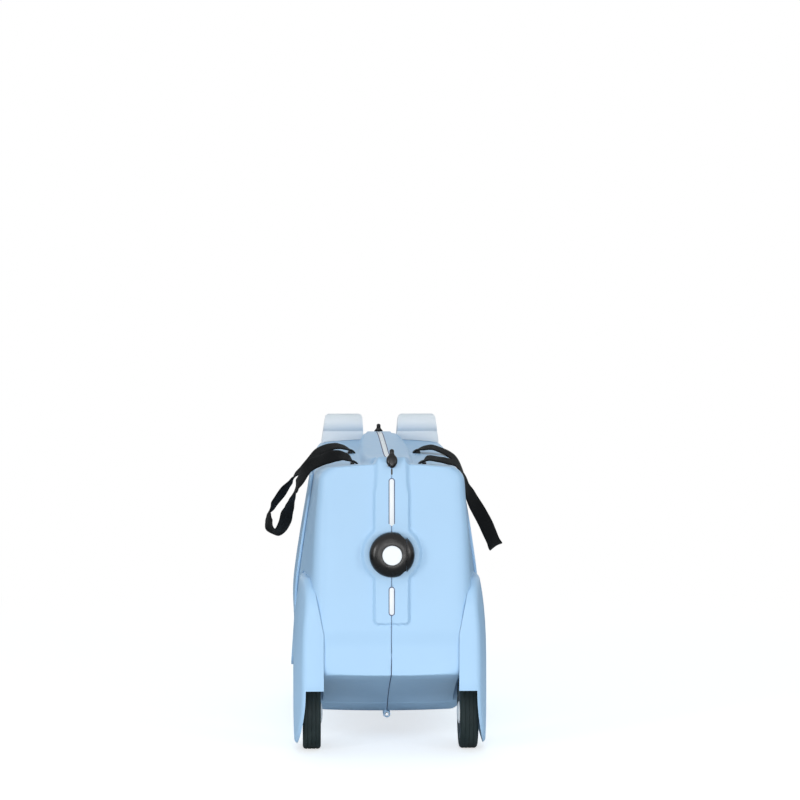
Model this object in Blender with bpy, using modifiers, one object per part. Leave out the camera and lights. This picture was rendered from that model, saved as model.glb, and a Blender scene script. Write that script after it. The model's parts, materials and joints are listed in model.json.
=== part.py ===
"""Ride-on kids suitcase.

Two moulded half shells, hinged under the belly, stand on four housed wheels. A child sits
astride the seam and holds the two grips. A webbing handle hangs over each side, and a tow
strap's ring goes on the knob at either end.

Metres. +Y is forward, +Z is up, the floor is z = 0 and the seam lies in the plane x = 0.
A depth is measured inwards from the face of the rear or the front end.
"""

import math

import bmesh
import bpy
from mathutils import Matrix, Vector

REAR, FRONT = -1, 1
LEFT, RIGHT = -1, 1
SIDE_NAMES = {LEFT: "left", RIGHT: "right"}
END_NAMES = {REAR: "rear", FRONT: "front"}

# Fits
FIT = 0.0003  # between pieces that touch
RUN = 0.0004  # between pieces that turn or slide
OVERRUN = 0.004  # how far a cutter runs past what it cuts
BEYOND = 0.6  # past everything, for a cutter that halves a piece

# Body
BODY_LENGTH = 0.500
SPINE_TOP = 0.329
BELLY_HEIGHT = 0.0264
END_HALF_WIDTH = 0.082
SIDE_BULGE = 0.0215
PLAN_FULLNESS = 0.6
SPINE_RISE = 0.007
CROWN = 0.003
BELLY_CROWN = 0.004
WALL = 0.0024
UPPER_CORNER = 0.0175
LOWER_CORNER = 0.022
FACE_SIDE_ROUND = 0.018
FACE_TOP_ROUND = 0.004
BELLY_LENGTH = 0.170
TAIL_LENGTH = (BODY_LENGTH - BELLY_LENGTH) / 2
TAIL_RISE = 0.0626
SEAT_DIP = 0.0085
END_TAPER = 0.0045
# Share of the length, and share of SEAT_DIP above SPINE_TOP
SEAT_LINE = ((0.0, 0.0), (0.2, -0.765), (0.36, -1.0), (0.6, -0.41), (0.84, 0.12), (1.0, 0.12))
# Share of TAIL_LENGTH, and share of TAIL_RISE
TAIL_LINE = ((0.0, 1.0), (0.3, 0.77), (0.66, 0.41), (0.88, 0.1), (1.0, 0.0))
# Share of the height, and share of SIDE_BULGE
BULGE_LINE = (
    (0.0, -0.1), (0.12, 0.46), (0.25, 0.86), (0.38, 1.0), (0.46, 1.0), (0.55, 0.86),
    (0.65, 0.65), (0.77, 0.4), (0.89, 0.22), (1.0, 0.2),
)
# Share of the height, and share of END_TAPER
TAPER_LINE = ((0.0, 0.0), (0.7, 0.0), (0.89, 0.55), (1.0, 1.0))

# Raised centre band, over the seam
BAND_HALF_WIDTH = 0.020
BAND_PROUD = 0.004
BAND_ROUND = 0.005
BAND_CORNER = 0.007
BAND_FOOT = 0.146
SEAT_HALF_WIDTH = 0.031
SEAT_SLOPE = 0.007
SEAT_FULLNESS = 0.4
SEAT_START = 0.055
SEAT_END = 0.445

# Pale strips over the seam
STRIP_WIDTH = 0.0054
STRIP_THICKNESS = 0.0017
STRIP_PROUD = 0.0004
TOP_STRIP_MARGIN = 0.019
UPPER_STRIP_DROP = 0.020
UPPER_STRIP_LENGTH = 0.055
LOWER_STRIP_RISE = 0.011
LOWER_STRIP_LENGTH = 0.030

# Hinge under the belly
HINGE_HEIGHT = 0.022
KNUCKLE_RADIUS = 0.004
KNUCKLE_COUNT = 5
KNUCKLE_GAP = 0.001
PIN_RADIUS = 0.002
PIN_LENGTH = BELLY_LENGTH - 0.002

# Wheels
WHEEL_RADIUS = 0.0395
WHEEL_DEPTH = 0.065
WHEEL_INNER_FACE = 0.077
TYRE_WIDTH = 0.020
TYRE_ROUND = 0.0035
RIM_RADIUS = 0.030
HUB_WEB = 0.005
HUB_BOSS_RADIUS = 0.010
HUB_BOSS_PROUD = 0.0018
HUB_RIM_WALL = 0.003
SPINDLE_RADIUS = 0.007
CAP_RADIUS = 0.0123
CAP_DOME = 0.0024
CAP_BASE = 0.0016
BOLT_HEAD_RADIUS = 0.0085
BOLT_HEAD_HEIGHT = 0.0026
BOLT_RADIUS = 0.0025
BOLT_LENGTH = 0.014

# Wheel housings
HOUSING_RADIUS = 0.067
HOUSING_FOOT = 0.006
HOUSING_TOP = 0.195
HOUSING_TOP_ROUND = 0.035
HOUSING_WALL = 0.003
HOUSING_EDGE_ROUND = 0.005
HOUSING_REACH = 0.1075
HOUSING_END_DROP = 0.011
HOUSING_TOP_DROP = 0.0085
HOUSING_TOP_FULLNESS = 3.2
HOUSING_MIDDLE = 0.060
FLANK_HALF_WIDTH = 0.0736
FLANK_BEND = 0.135
FLANK_TOP_HALF_WIDTH = 0.0856
HOUSING_SCREW_HEIGHT = 0.125
HOUSING_BOSS_RADIUS = 0.006
HOUSING_SCREW_LENGTH = 0.019

# Screws
SCREW_RADIUS = 0.0019
SCREW_HEAD_RADIUS = 0.0042
SCREW_HEAD_HEIGHT = 0.0026

# Knobs for the tow strap
KNOB_HEIGHT = 0.2235
KNOB_RADIUS = 0.0247
KNOB_NECK_RADIUS = 0.013
KNOB_NECK_HEIGHT = 0.0052
KNOB_PROJECTION = 0.0155
KNOB_FLANGE = 0.0018
KNOB_BOSS_RADIUS = 0.032
KNOB_BOSS_PROUD = 0.0048
KNOB_CHORD = 0.0156
KNOB_SCREW_OFFSET = 0.0075
KNOB_SCREW_LENGTH = 0.015
NOTCH_LENGTH = 0.0072
NOTCH_REACH = 0.0188
TONGUE_INNER = 0.0072
TONGUE_ROOT = 0.003
TONGUE_HALF_HEIGHT = 0.005
TONGUE_LOW = 0.0072
TONGUE_HIGH = 0.0098
BADGE_RADIUS = 0.0107
BADGE_THICKNESS = 0.0014
BADGE_RECESS = 0.0012

# Latches
LATCH_PIVOT_PROUD = 0.0034
LATCH_PIVOT_DROP = 0.0085
LATCH_PIN_RADIUS = 0.0015
LATCH_PIN_LENGTH = 0.0096
LUG_INNER = 0.0003
LUG_OUTER = 0.0026
LUG_RADIUS = 0.0028
LATCH_THICKNESS = 0.006
LATCH_END_RADIUS = 0.003
LATCH_NOSE = 0.011
LATCH_NOSE_HEIGHT = 0.0026
# Half width of the lever, and height above its pivot
LATCH_FRONT = (
    (0.0018, -0.0032), (0.0040, -0.0022), (0.0054, 0.0004), (0.0059, 0.0036), (0.0050, 0.0072),
    (0.0034, 0.0100), (0.0022, 0.0120), (0.0019, 0.0140), (0.0024, 0.0156), (0.0021, 0.0170), (0.0010, 0.0178),
)

# Grips
GRIP_INNER = 0.0203
GRIP_OUTER = 0.0727
GRIP_TOP_INNER = 0.0222
GRIP_TOP_OUTER = 0.0685
GRIP_TOP = 0.0335
GRIP_WAIST = 0.0115
GRIP_SETBACK = 0.004
GRIP_DEPTH = 0.066
GRIP_LENGTH = 0.036
GRIP_ROLL_RADIUS = 0.0107
GRIP_OVERHANG = 0.005
GRIP_CORNER = 0.0055
GRIP_SCREW_LENGTH = 0.018

# Side flaps
FLAP_TOP = 0.297
FLAP_TIP = 0.071
FLAP_THICKNESS = 0.003
FLAP_CLEARANCE = 0.0005
FLAP_HANG = 0.125
FLAP_KICK = 0.004
FLAP_MIDDLE = 0.263
FLAP_WIDTH = 0.190
# Share of the height from the tip, then the rear and the front edge as shares of the width
FLAP_EDGES = (
    (0.0, -0.16, 0.13), (0.06, -0.27, 0.23), (0.2, -0.385, 0.355), (0.45, -0.48, 0.47),
    (0.7, -0.5, 0.5), (0.9, -0.45, 0.47), (1.0, -0.385, 0.415),
)

# Carry handles
HANDLE_SEAT = 0.0405
HANDLE_NEAR_DEPTH = 0.120
HANDLE_FAR_DEPTH = 0.278
HANDLE_PIVOT_RISE = 0.0035
WEBBING_WIDTH = 0.0175
WEBBING_THICKNESS = 0.0016
WEBBING_STEPS = 1
SLOT_WIDTH = 0.0052
ANCHOR_PLATE_THICKNESS = 0.002
ANCHOR_PLATE_WIDTH = 0.016
ANCHOR_PLATE_MARGIN = 0.005

# Middle of the webbing as distance from the seam, depth from the rear end and drop under the
# spine's top, then how far its width reaches outwards and up. The two ends are the pivots over
# the slots.
LEFT_ROUTE = (
    (0.0474, 0.120, 0.0075, -0.0028, 0.0064),
    (0.0566, 0.121, 0.0061, 0.0043, 0.0107),
    (0.0660, 0.123, 0.0077, 0.0014, 0.0130),
    (0.0763, 0.128, 0.0120, 0.0014, 0.0114),
    (0.0910, 0.137, 0.0201, 0.0085, 0.0075),
    (0.0974, 0.147, 0.0319, 0.0060, 0.0055),
    (0.1024, 0.156, 0.0404, 0.0039, 0.0031),
    (0.1044, 0.163, 0.0465, 0.0010, 0.0005),
    (0.1080, 0.172, 0.0551, -0.0035, -0.0006),
    (0.1112, 0.181, 0.0645, -0.0064, -0.0020),
    (0.1146, 0.191, 0.0754, -0.0110, -0.0036),
    (0.1173, 0.203, 0.0881, -0.0115, -0.0040),
    (0.1224, 0.215, 0.0979, -0.0080, -0.0051),
    (0.1291, 0.224, 0.0999, 0.0010, -0.0085),
    (0.1355, 0.231, 0.0942, 0.0095, -0.0044),
    (0.1370, 0.237, 0.0866, 0.0055, -0.0010),
    (0.1360, 0.242, 0.0797, 0.0010, 0.0000),
    (0.1308, 0.248, 0.0714, -0.0060, -0.0045),
    (0.1202, 0.254, 0.0574, -0.0075, -0.0058),
    (0.1109, 0.259, 0.0464, -0.0034, -0.0040),
    (0.1060, 0.262, 0.0399, -0.0005, -0.0005),
    (0.0981, 0.266, 0.0340, 0.0060, 0.0053),
    (0.0888, 0.270, 0.0236, 0.0055, 0.0065),
    (0.0790, 0.274, 0.0122, 0.0035, 0.0077),
    (0.0686, 0.276, 0.0070, 0.0010, 0.0080),
    (0.0582, 0.277, 0.0045, 0.0000, 0.0060),
    (0.0492, 0.278, 0.0056, -0.0010, 0.0035),
)
RIGHT_ROUTE = (
    (0.0462, 0.120, 0.0090, 0.0000, 0.0045),
    (0.0562, 0.122, 0.0104, 0.0005, 0.0045),
    (0.0662, 0.124, 0.0125, 0.0020, 0.0050),
    (0.0778, 0.129, 0.0166, 0.0030, 0.0035),
    (0.0856, 0.138, 0.0296, 0.0020, 0.0015),
    (0.0902, 0.148, 0.0435, 0.0060, 0.0030),
    (0.0970, 0.158, 0.0575, 0.0110, 0.0060),
    (0.1079, 0.172, 0.0766, 0.0140, 0.0070),
    (0.1157, 0.182, 0.0905, 0.0140, 0.0070),
    (0.1209, 0.190, 0.1023, 0.0140, 0.0065),
    (0.1264, 0.200, 0.1143, 0.0125, 0.0070),
    (0.1275, 0.212, 0.1160, 0.0125, 0.0070),
    (0.1220, 0.223, 0.1036, 0.0140, 0.0065),
    (0.1167, 0.232, 0.0915, 0.0140, 0.0070),
    (0.1086, 0.242, 0.0759, 0.0140, 0.0070),
    (0.1004, 0.252, 0.0602, 0.0090, 0.0050),
    (0.0945, 0.260, 0.0466, 0.0020, 0.0015),
    (0.0918, 0.266, 0.0345, 0.0015, 0.0030),
    (0.0840, 0.271, 0.0202, 0.0035, 0.0040),
    (0.0756, 0.274, 0.0134, 0.0035, 0.0045),
    (0.0660, 0.276, 0.0090, 0.0020, 0.0045),
    (0.0571, 0.277, 0.0062, 0.0000, 0.0045),
    (0.0490, 0.278, 0.0069, 0.0000, 0.0035),
)

# Counts of faces
TAIL_STEPS = 4
BELLY_STEPS = 3
EDGE_STEPS = 3
CORNER_STEPS = 3
SIDE_STEPS = 5
ROUND_STEPS = 24
KNOB_STEPS = 28
SMALL_ROUND_STEPS = 12
SCREW_STEPS = 8
FLAP_ROWS = 9
FLAP_COLUMNS = 5
HOUSING_FOOT_STEPS = 10
HOUSING_CORNER_STEPS = 3
DOME_RING_SHARE = 0.6


def clear_scene():
    """Remove what the scene holds."""
    for thing in list(bpy.data.objects):
        bpy.data.objects.remove(thing, do_unlink=True)


def new_collection(name):
    """Return a new collection, linked to the scene."""
    collection = bpy.data.collections.new(name)
    bpy.context.scene.collection.children.link(collection)
    return collection


def linear(channel):
    """Turn one sRGB channel of 0 to 255 into a linear value."""
    value = channel / 255
    return value / 12.92 if value <= 0.04045 else ((value + 0.055) / 1.055) ** 2.4


def plastic(name, colour, roughness, metallic=0.0):
    """Return a Principled material of an sRGB colour."""
    material = bpy.data.materials.new(name)
    material.use_nodes = True
    shader = material.node_tree.nodes["Principled BSDF"]
    shader.inputs["Base Color"].default_value = (*(linear(c) for c in colour), 1)
    shader.inputs["Roughness"].default_value = roughness
    shader.inputs["Metallic"].default_value = metallic
    material.diffuse_color = (*(linear(c) for c in colour), 1)
    return material


def through(keys, place):
    """Return the height at a place of the smooth curve through keys of place and height."""
    place = min(max(place, keys[0][0]), keys[-1][0])
    index = next(i for i in range(len(keys) - 1) if place <= keys[i + 1][0])
    start, end = keys[index], keys[index + 1]
    run = end[0] - start[0]

    def slope(at):
        before, after = keys[max(at - 1, 0)], keys[min(at + 1, len(keys) - 1)]
        return (after[1] - before[1]) / (after[0] - before[0])

    t = (place - start[0]) / run
    from_start = (1 + 2 * t) * (1 - t) ** 2 * start[1] + t * (1 - t) ** 2 * run * slope(index)
    from_end = t * t * (3 - 2 * t) * end[1] + t * t * (t - 1) * run * slope(index + 1)
    return from_start + from_end


def arc(centre, radius, start, end, steps):
    """Return points on an arc, its angles in degrees."""
    turns = [math.radians(start + (end - start) * step / steps) for step in range(steps + 1)]
    return [(centre[0] + radius * math.cos(a), centre[1] + radius * math.sin(a)) for a in turns]


def end_y(end, depth):
    """Return y at a depth from the face of an end."""
    return end * (BODY_LENGTH / 2 - depth)


def spine_height(depth):
    """Return the top of the centre band, at a depth from the rear."""
    return SPINE_TOP + SEAT_DIP * through(SEAT_LINE, depth / BODY_LENGTH)


def shoulder_height(depth):
    """Return the top of the body beside the centre band, at a depth from the rear."""
    return spine_height(depth) - SPINE_RISE


def belly_height(depth):
    """Return the underside, which rises in a tail towards each end."""
    from_end = min(depth, BODY_LENGTH - depth)
    return BELLY_HEIGHT + TAIL_RISE * through(TAIL_LINE, from_end / TAIL_LENGTH)


def half_width(depth, z):
    """Return the body's half width at a depth from the rear and a height."""
    share = (z - BELLY_HEIGHT) / (SPINE_TOP - BELLY_HEIGHT)
    along = min(max(depth / BODY_LENGTH, 0), 1)
    plan = math.sin(math.pi * along) ** PLAN_FULLNESS
    at_end = END_HALF_WIDTH - END_TAPER * through(TAPER_LINE, share)
    return at_end + SIDE_BULGE * through(BULGE_LINE, share) * plan


def top_surface(depth, distance):
    """Return the height of the body's top at a distance from the seam."""
    flat_end = END_HALF_WIDTH - UPPER_CORNER
    return shoulder_height(depth) - CROWN * (distance / flat_end) ** 2


def new_object(name, mesh, collection, material=None):
    """Put a mesh in a collection as an object."""
    thing = bpy.data.objects.new(name, mesh)
    collection.objects.link(thing)
    if material:
        mesh.materials.append(material)
    return thing


def to_mesh(bm, name):
    """Turn a bmesh into a mesh whose faces point out."""
    bmesh.ops.recalc_face_normals(bm, faces=bm.faces)
    if bm.calc_volume(signed=True) < 0:
        bmesh.ops.reverse_faces(bm, faces=bm.faces)
    mesh = bpy.data.meshes.new(name)
    bm.to_mesh(mesh)
    bm.free()
    mesh.shade_smooth()
    mesh.set_sharp_from_angle(angle=math.radians(35))
    return mesh


def loft_mesh(name, rings, side=RIGHT, split=False):
    """Return a closed skin over a row of rings of like length, mirrored for the left side.

    A skin that twists is split into triangles.
    """
    bm = bmesh.new()
    rows = [[bm.verts.new((side * x, y, z)) for x, y, z in ring] for ring in rings]
    for row, after in zip(rows, rows[1:]):
        for i in range(len(row)):
            bm.faces.new((row[i - 1], row[i], after[i], after[i - 1]))
    bm.faces.new(rows[0])
    bm.faces.new(rows[-1])
    if split:
        bmesh.ops.triangulate(bm, faces=bm.faces)
    return to_mesh(bm, name)


def rod_mesh(name, start, end, radius, steps=SMALL_ROUND_STEPS):
    """Return a cylinder between two points."""
    start, end = Vector(start), Vector(end)
    axis = end - start
    bm = bmesh.new()
    bmesh.ops.create_cone(bm, cap_ends=True, segments=steps, radius1=radius, radius2=radius, depth=axis.length)
    turn = axis.to_track_quat("Z", "Y").to_matrix().to_4x4()
    bm.transform(Matrix.Translation((start + end) / 2) @ turn)
    return to_mesh(bm, name)


def block_mesh(name, corner, opposite):
    """Return a box between two opposite corners."""
    corner, opposite = Vector(corner), Vector(opposite)
    size = opposite - corner
    bm = bmesh.new()
    bmesh.ops.create_cube(bm, size=1)
    bm.transform(Matrix.Translation((corner + opposite) / 2) @ Matrix.Diagonal((*(abs(s) for s in size), 1)))
    return to_mesh(bm, name)


def plate_mesh(name, outline, axis, start, end, rounding=0.0):
    """Return a flat outline extruded along an axis.

    The outline is in (y, z) where the axis is X, and in (x, z) where it is Y.
    """
    curve = bpy.data.curves.new(name, "CURVE")
    curve.dimensions = "2D"
    curve.fill_mode = "BOTH"
    curve.extrude = abs(end - start) / 2 - rounding
    curve.bevel_depth = rounding
    curve.bevel_resolution = 1
    curve.offset = -rounding
    spline = curve.splines.new("POLY")
    spline.points.add(len(outline) - 1)
    for point, (u, v) in zip(spline.points, outline):
        point.co = (u, v, 0, 1)
    spline.use_cyclic_u = True
    holder = bpy.data.objects.new(name, curve)
    flat = bpy.data.meshes.new_from_object(holder)
    bpy.data.objects.remove(holder)
    middle = (start + end) / 2
    bm = bmesh.new()
    bm.from_mesh(flat)
    bpy.data.meshes.remove(flat)
    bmesh.ops.remove_doubles(bm, verts=bm.verts, dist=0.00001)
    if axis == "X":
        bm.transform(Matrix(((0, 0, 1, middle), (1, 0, 0, 0), (0, 1, 0, 0), (0, 0, 0, 1))))
    else:
        bm.transform(Matrix(((1, 0, 0, 0), (0, 0, -1, middle), (0, 1, 0, 0), (0, 0, 0, 1))))
    return to_mesh(bm, name)


class Suitcase:
    """Collections, materials and modelling steps that all the pieces share."""

    def __init__(self):
        self.parts = new_collection("kids_suitcase")
        self.cutters = new_collection("cutters")
        self.blue = plastic("body_blue", (166, 205, 240), 0.42)
        self.pale = plastic("pale_grip", (222, 232, 246), 0.38)
        self.white = plastic("white_trim", (246, 248, 250), 0.35)
        self.black = plastic("gloss_black", (14, 15, 16), 0.22)
        self.rubber = plastic("tyre_black", (44, 52, 51), 0.7)
        self.hub_grey = plastic("hub_grey", (58, 62, 64), 0.5)
        self.webbing = plastic("black_webbing", (20, 21, 22), 0.85)
        self.steel = plastic("steel", (190, 192, 196), 0.3, 1.0)

    def part(self, name, mesh, material):
        """Add a piece of the object."""
        return new_object(name, mesh, self.parts, material)

    def tool(self, mesh):
        """Add a solid that only cuts or joins others."""
        thing = new_object(mesh.name, mesh, self.cutters)
        thing.hide_render = True
        thing.display_type = "WIRE"
        return thing

    def combine(self, target, tool, operation):
        """Join a tool to a solid, cut it out, or keep what they share."""
        modifier = target.modifiers.new(tool.name, "BOOLEAN")
        modifier.operation = operation
        modifier.object = tool
        return target

    def join(self, target, mesh):
        """Join a mesh to a solid."""
        return self.combine(target, self.tool(mesh), "UNION")

    def cut(self, target, mesh):
        """Cut a mesh out of a solid."""
        return self.combine(target, self.tool(mesh), "DIFFERENCE")

    def turned(self, name, profile, material, place, rotation, closed=False, steps=ROUND_STEPS):
        """Add a turned piece: a profile of (radius, height), down its outer side."""
        mesh = bpy.data.meshes.new(name)
        count = len(profile)
        edges = [(i, i + 1) for i in range(count - 1)]
        if closed:
            edges.append((count - 1, 0))
        mesh.from_pydata([(r, 0, h) for r, h in profile], edges, [])
        thing = new_object(name, mesh, self.parts, material)
        thing.location = place
        thing.rotation_euler = rotation
        screw = thing.modifiers.new("Turn", "SCREW")
        screw.steps = steps
        screw.render_steps = steps
        screw.use_merge_vertices = True
        screw.merge_threshold = 0.00001
        screw.use_smooth_shade = True
        return thing

    def axis(self, name, place, carrier=None):
        """Add an empty on a joint's axis."""
        empty = bpy.data.objects.new(name, None)
        empty.empty_display_size = 0.02
        empty.location = place
        self.parts.objects.link(empty)
        if carrier:
            self.carry(carrier, empty)
        return empty

    def carry(self, empty, *pieces):
        """Parent pieces to an empty and keep them where they are."""
        for piece in pieces:
            piece.parent = empty
            piece.matrix_parent_inverse = Matrix.Translation(-empty.location)


def half_ring(depth, inset, seam_x, side_cut, top_cut):
    """Return the outline of half the body at a depth from the rear, from top to belly."""
    top = shoulder_height(depth) - inset
    bottom = belly_height(depth) + inset
    upper = UPPER_CORNER - inset
    lower = LOWER_CORNER - inset
    corner = half_width(depth, top - upper) - inset - upper
    upper_end = top - CROWN - upper
    points = [(corner / 2, top - CROWN / 4)]
    points += arc((corner, upper_end), upper, 90, 0, CORNER_STEPS)
    lower_end = bottom + BELLY_CROWN + lower
    for step in range(1, SIDE_STEPS):
        z = upper_end + (lower_end - upper_end) * step / SIDE_STEPS
        points.append((half_width(depth, z) - inset, z))
    corner = half_width(depth, lower_end) - inset - lower
    points += arc((corner, lower_end), lower, 0, -90, CORNER_STEPS)
    points.append((corner / 2, bottom + BELLY_CROWN / 4))
    widest = max(x for x, _ in points)
    middle = (top + bottom) / 2
    x_share = 1 - side_cut / widest
    z_share = 1 - top_cut / (top - middle)
    points = [(x * x_share, middle + (z - middle) * z_share) for x, z in points]
    y = depth - BODY_LENGTH / 2
    high = middle + (top - middle) * z_share
    low = middle + (bottom - middle) * z_share
    return [(seam_x, y, high)] + [(x, y, z) for x, z in points] + [(seam_x, y, low)]


def length_stations():
    """Return the depths of the body's sections between its rounded end edges."""
    run = TAIL_LENGTH - FACE_SIDE_ROUND
    tail = [FACE_SIDE_ROUND + run * step / TAIL_STEPS for step in range(TAIL_STEPS)]
    belly = [TAIL_LENGTH + BELLY_LENGTH * step / BELLY_STEPS for step in range(BELLY_STEPS + 1)]
    return tail + belly + [BODY_LENGTH - depth for depth in reversed(tail)]


def half_body_mesh(name, side, inset):
    """Return a solid of half the body, drawn in by an inset, a little past the seam."""
    side_round = FACE_SIDE_ROUND - inset
    top_round = FACE_TOP_ROUND - inset
    edge = []
    for step in range(EDGE_STEPS):
        turn = math.pi / 2 * step / EDGE_STEPS
        edge.append((inset + side_round * (1 - math.cos(turn)), 1 - math.sin(turn)))
    stations = edge + [(depth, 0) for depth in length_stations()]
    stations += [(BODY_LENGTH - depth, share) for depth, share in reversed(edge)]
    rings = [half_ring(d, inset, -OVERRUN - inset, side_round * s, top_round * s) for d, s in stations]
    return loft_mesh(name, rings, side)


def band_outline(inset):
    """Return the centre band's side view as (y, z), drawn in by an inset."""
    reach = BODY_LENGTH / 2 + BAND_PROUD - inset
    corner = max(BAND_CORNER - inset, WALL)
    rear_top = spine_height(0) - inset
    front_top = spine_height(BODY_LENGTH) - inset
    points = [(-reach, BAND_FOOT + inset)]
    points += arc((-reach + corner, rear_top - corner), corner, 180, 90, CORNER_STEPS)
    for depth in length_stations()[1:-1]:
        points.append((depth - BODY_LENGTH / 2, spine_height(depth) - inset))
    points += arc((reach - corner, front_top - corner), corner, 90, 0, CORNER_STEPS)
    points.append((reach, BAND_FOOT + inset))
    return points


def band_mesh(name, side, inset):
    """Return half of the centre band as a solid, its outer edges rounded."""
    half = BAND_HALF_WIDTH - inset
    bend = BAND_ROUND * (1 - math.sqrt(0.5))
    rows = ((-OVERRUN - inset, 0), (half - BAND_ROUND, 0), (half - bend, bend), (half, BAND_ROUND))
    rings = [[(x, y, z) for y, z in band_outline(inset + extra)] for x, extra in rows]
    return loft_mesh(name, rings, side)


def seat_mesh(name, side, inset):
    """Return half of the widened seat, a ridge along the middle of the top."""
    start, end = SEAT_START + inset, SEAT_END - inset
    depths = [start] + [depth for depth in length_stations() if start < depth < end] + [end]
    rings = []
    for depth in depths:
        widen = math.sin(math.pi * (depth - start) / (end - start)) ** SEAT_FULLNESS
        base = BAND_HALF_WIDTH + (SEAT_HALF_WIDTH - BAND_HALF_WIDTH) * widen - inset
        top = spine_height(depth) - inset
        foot = shoulder_height(depth) - CROWN - inset
        y = depth - BODY_LENGTH / 2
        outline = [(-OVERRUN - inset, foot), (base, foot), (base - SEAT_SLOPE, top - 0.001)]
        outline += [(base - SEAT_SLOPE - 0.004, top), (-OVERRUN - inset, top)]
        rings.append([(x, y, z) for x, z in outline])
    return loft_mesh(name, rings, side)


def flank_outline(grow):
    """Return the (x, z) region that the body keeps beside the wheels, with a margin."""
    low, high = -0.02, HOUSING_TOP + 0.02
    straight = FLANK_HALF_WIDTH + grow
    slanted = FLANK_TOP_HALF_WIDTH + grow
    return [(0.0, low), (straight, low), (straight, FLANK_BEND), (slanted, HOUSING_TOP), (slanted, high), (0.0, high)]


def housing_outline(inset):
    """Return the housing's side view as (depth, z): a round foot and rounded upper corners."""
    radius = HOUSING_RADIUS - inset
    centre = HOUSING_FOOT + HOUSING_RADIUS
    corner = HOUSING_TOP_ROUND - inset
    side = HOUSING_RADIUS - HOUSING_TOP_ROUND
    top = HOUSING_TOP - HOUSING_TOP_ROUND
    points = arc((HOUSING_RADIUS, centre), radius, 180, 360, HOUSING_FOOT_STEPS)
    points += arc((HOUSING_RADIUS + side, top), corner, 0, 90, HOUSING_CORNER_STEPS)
    points += arc((HOUSING_RADIUS - side, top), corner, 90, 180, HOUSING_CORNER_STEPS)
    return points


def cavity_outline(drawn_in):
    """Return the hollow of a housing as (depth, z): inside its walls, and past its edge below them."""
    inset = HOUSING_WALL + drawn_in
    centre = HOUSING_FOOT + HOUSING_RADIUS
    corner = HOUSING_TOP_ROUND - inset
    side = HOUSING_RADIUS - HOUSING_TOP_ROUND
    top = HOUSING_TOP - HOUSING_TOP_ROUND
    points = arc((HOUSING_RADIUS, centre), HOUSING_RADIUS + OVERRUN, 180, 360, HOUSING_FOOT_STEPS)
    points.append((HOUSING_RADIUS + side + corner, centre))
    points += arc((HOUSING_RADIUS + side, top), corner, 0, 90, HOUSING_CORNER_STEPS)
    points += arc((HOUSING_RADIUS - side, top), corner, 90, 180, HOUSING_CORNER_STEPS)
    points.append((HOUSING_RADIUS - side - corner, centre))
    return points


def housing_surface(depth, z):
    """Return the distance from the seam of the housing's domed outer skin."""
    along = (depth - HOUSING_RADIUS) / HOUSING_RADIUS
    foot_centre = HOUSING_FOOT + HOUSING_RADIUS
    up = abs(z - foot_centre) / (HOUSING_TOP - foot_centre)
    return HOUSING_REACH - HOUSING_END_DROP * along**2 - HOUSING_TOP_DROP * up**HOUSING_TOP_FULLNESS


def domed_mesh(name, side, end, outline, base, inset, rounding):
    """Return a solid from a flat base out to the housing's domed surface, drawn in by an inset."""
    centre = (HOUSING_RADIUS, HOUSING_MIDDLE)
    rows = [(0.0, base)]
    if rounding:
        bend = rounding * (1 - math.sqrt(0.5))
        rows += [(0.0, -rounding), (bend, -bend), (rounding, 0.0)]
    else:
        rows += [(0.0, 0.0)]
    rings = []
    for drawn_in, rise in rows:
        ring = []
        for depth, z in outline(drawn_in):
            x = base if rise == base else housing_surface(depth, z) - inset + rise
            ring.append((x, end_y(end, depth), z))
        rings.append(ring)
    ring = []
    for depth, z in outline(rounding):
        depth = centre[0] + (depth - centre[0]) * DOME_RING_SHARE
        z = centre[1] + (z - centre[1]) * DOME_RING_SHARE
        ring.append((housing_surface(depth, z) - inset, end_y(end, depth), z))
    rings.append(ring)
    bm = bmesh.new()
    verts = [[bm.verts.new((side * x, y, z)) for x, y, z in ring] for ring in rings]
    for row, after in zip(verts, verts[1:]):
        for i in range(len(row)):
            bm.faces.new((row[i - 1], row[i], after[i], after[i - 1]))
    bm.faces.new(verts[0])
    tip = bm.verts.new((side * (housing_surface(*centre) - inset), end_y(end, centre[0]), centre[1]))
    last = verts[-1]
    for i in range(len(last)):
        bm.faces.new((last[i - 1], last[i], tip))
    return to_mesh(bm, name)


def wheel_well(case, side, end, grow):
    """Return a tool of the space that a housing takes from the body, with a margin."""
    outline = [(end_y(end, depth), z) for depth, z in housing_outline(-FIT - grow)]
    start, stop = sorted((side * 0.05, side * 0.14))
    well = case.tool(plate_mesh("wheel_well", outline, "X", start, stop))
    flank = [(side * x, z) for x, z in flank_outline(-grow)]
    ends = sorted((end_y(end, -0.02), end_y(end, 2 * HOUSING_RADIUS + 0.02)))
    return case.cut(well, plate_mesh("flank", flank, "Y", *ends))


def strip_spans():
    """Return the lowest and highest point of the strips above and below a knob."""
    high, low = SPINE_TOP - UPPER_STRIP_DROP, BAND_FOOT + LOWER_STRIP_RISE
    return {"upper": (high - UPPER_STRIP_LENGTH, high), "lower": (low, low + LOWER_STRIP_LENGTH)}


def strip_outline(low, high, half):
    """Return a round-ended strip as (x, z)."""
    points = arc((0, high - half), half, 0, 180, 6)
    return points + arc((0, low + half), half, 180, 360, 6)


def top_strip_mesh(name, half, low, high, margin):
    """Return a strip that follows the spine, between heights below and above it."""
    rings = []
    for depth in [margin] + length_stations()[1:-1] + [BODY_LENGTH - margin]:
        y = depth - BODY_LENGTH / 2
        spine = spine_height(depth)
        outline = ((-half, low), (half, low), (half, high), (-half, high))
        rings.append([(x, y, spine + rise) for x, rise in outline])
    return loft_mesh(name, rings)


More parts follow.
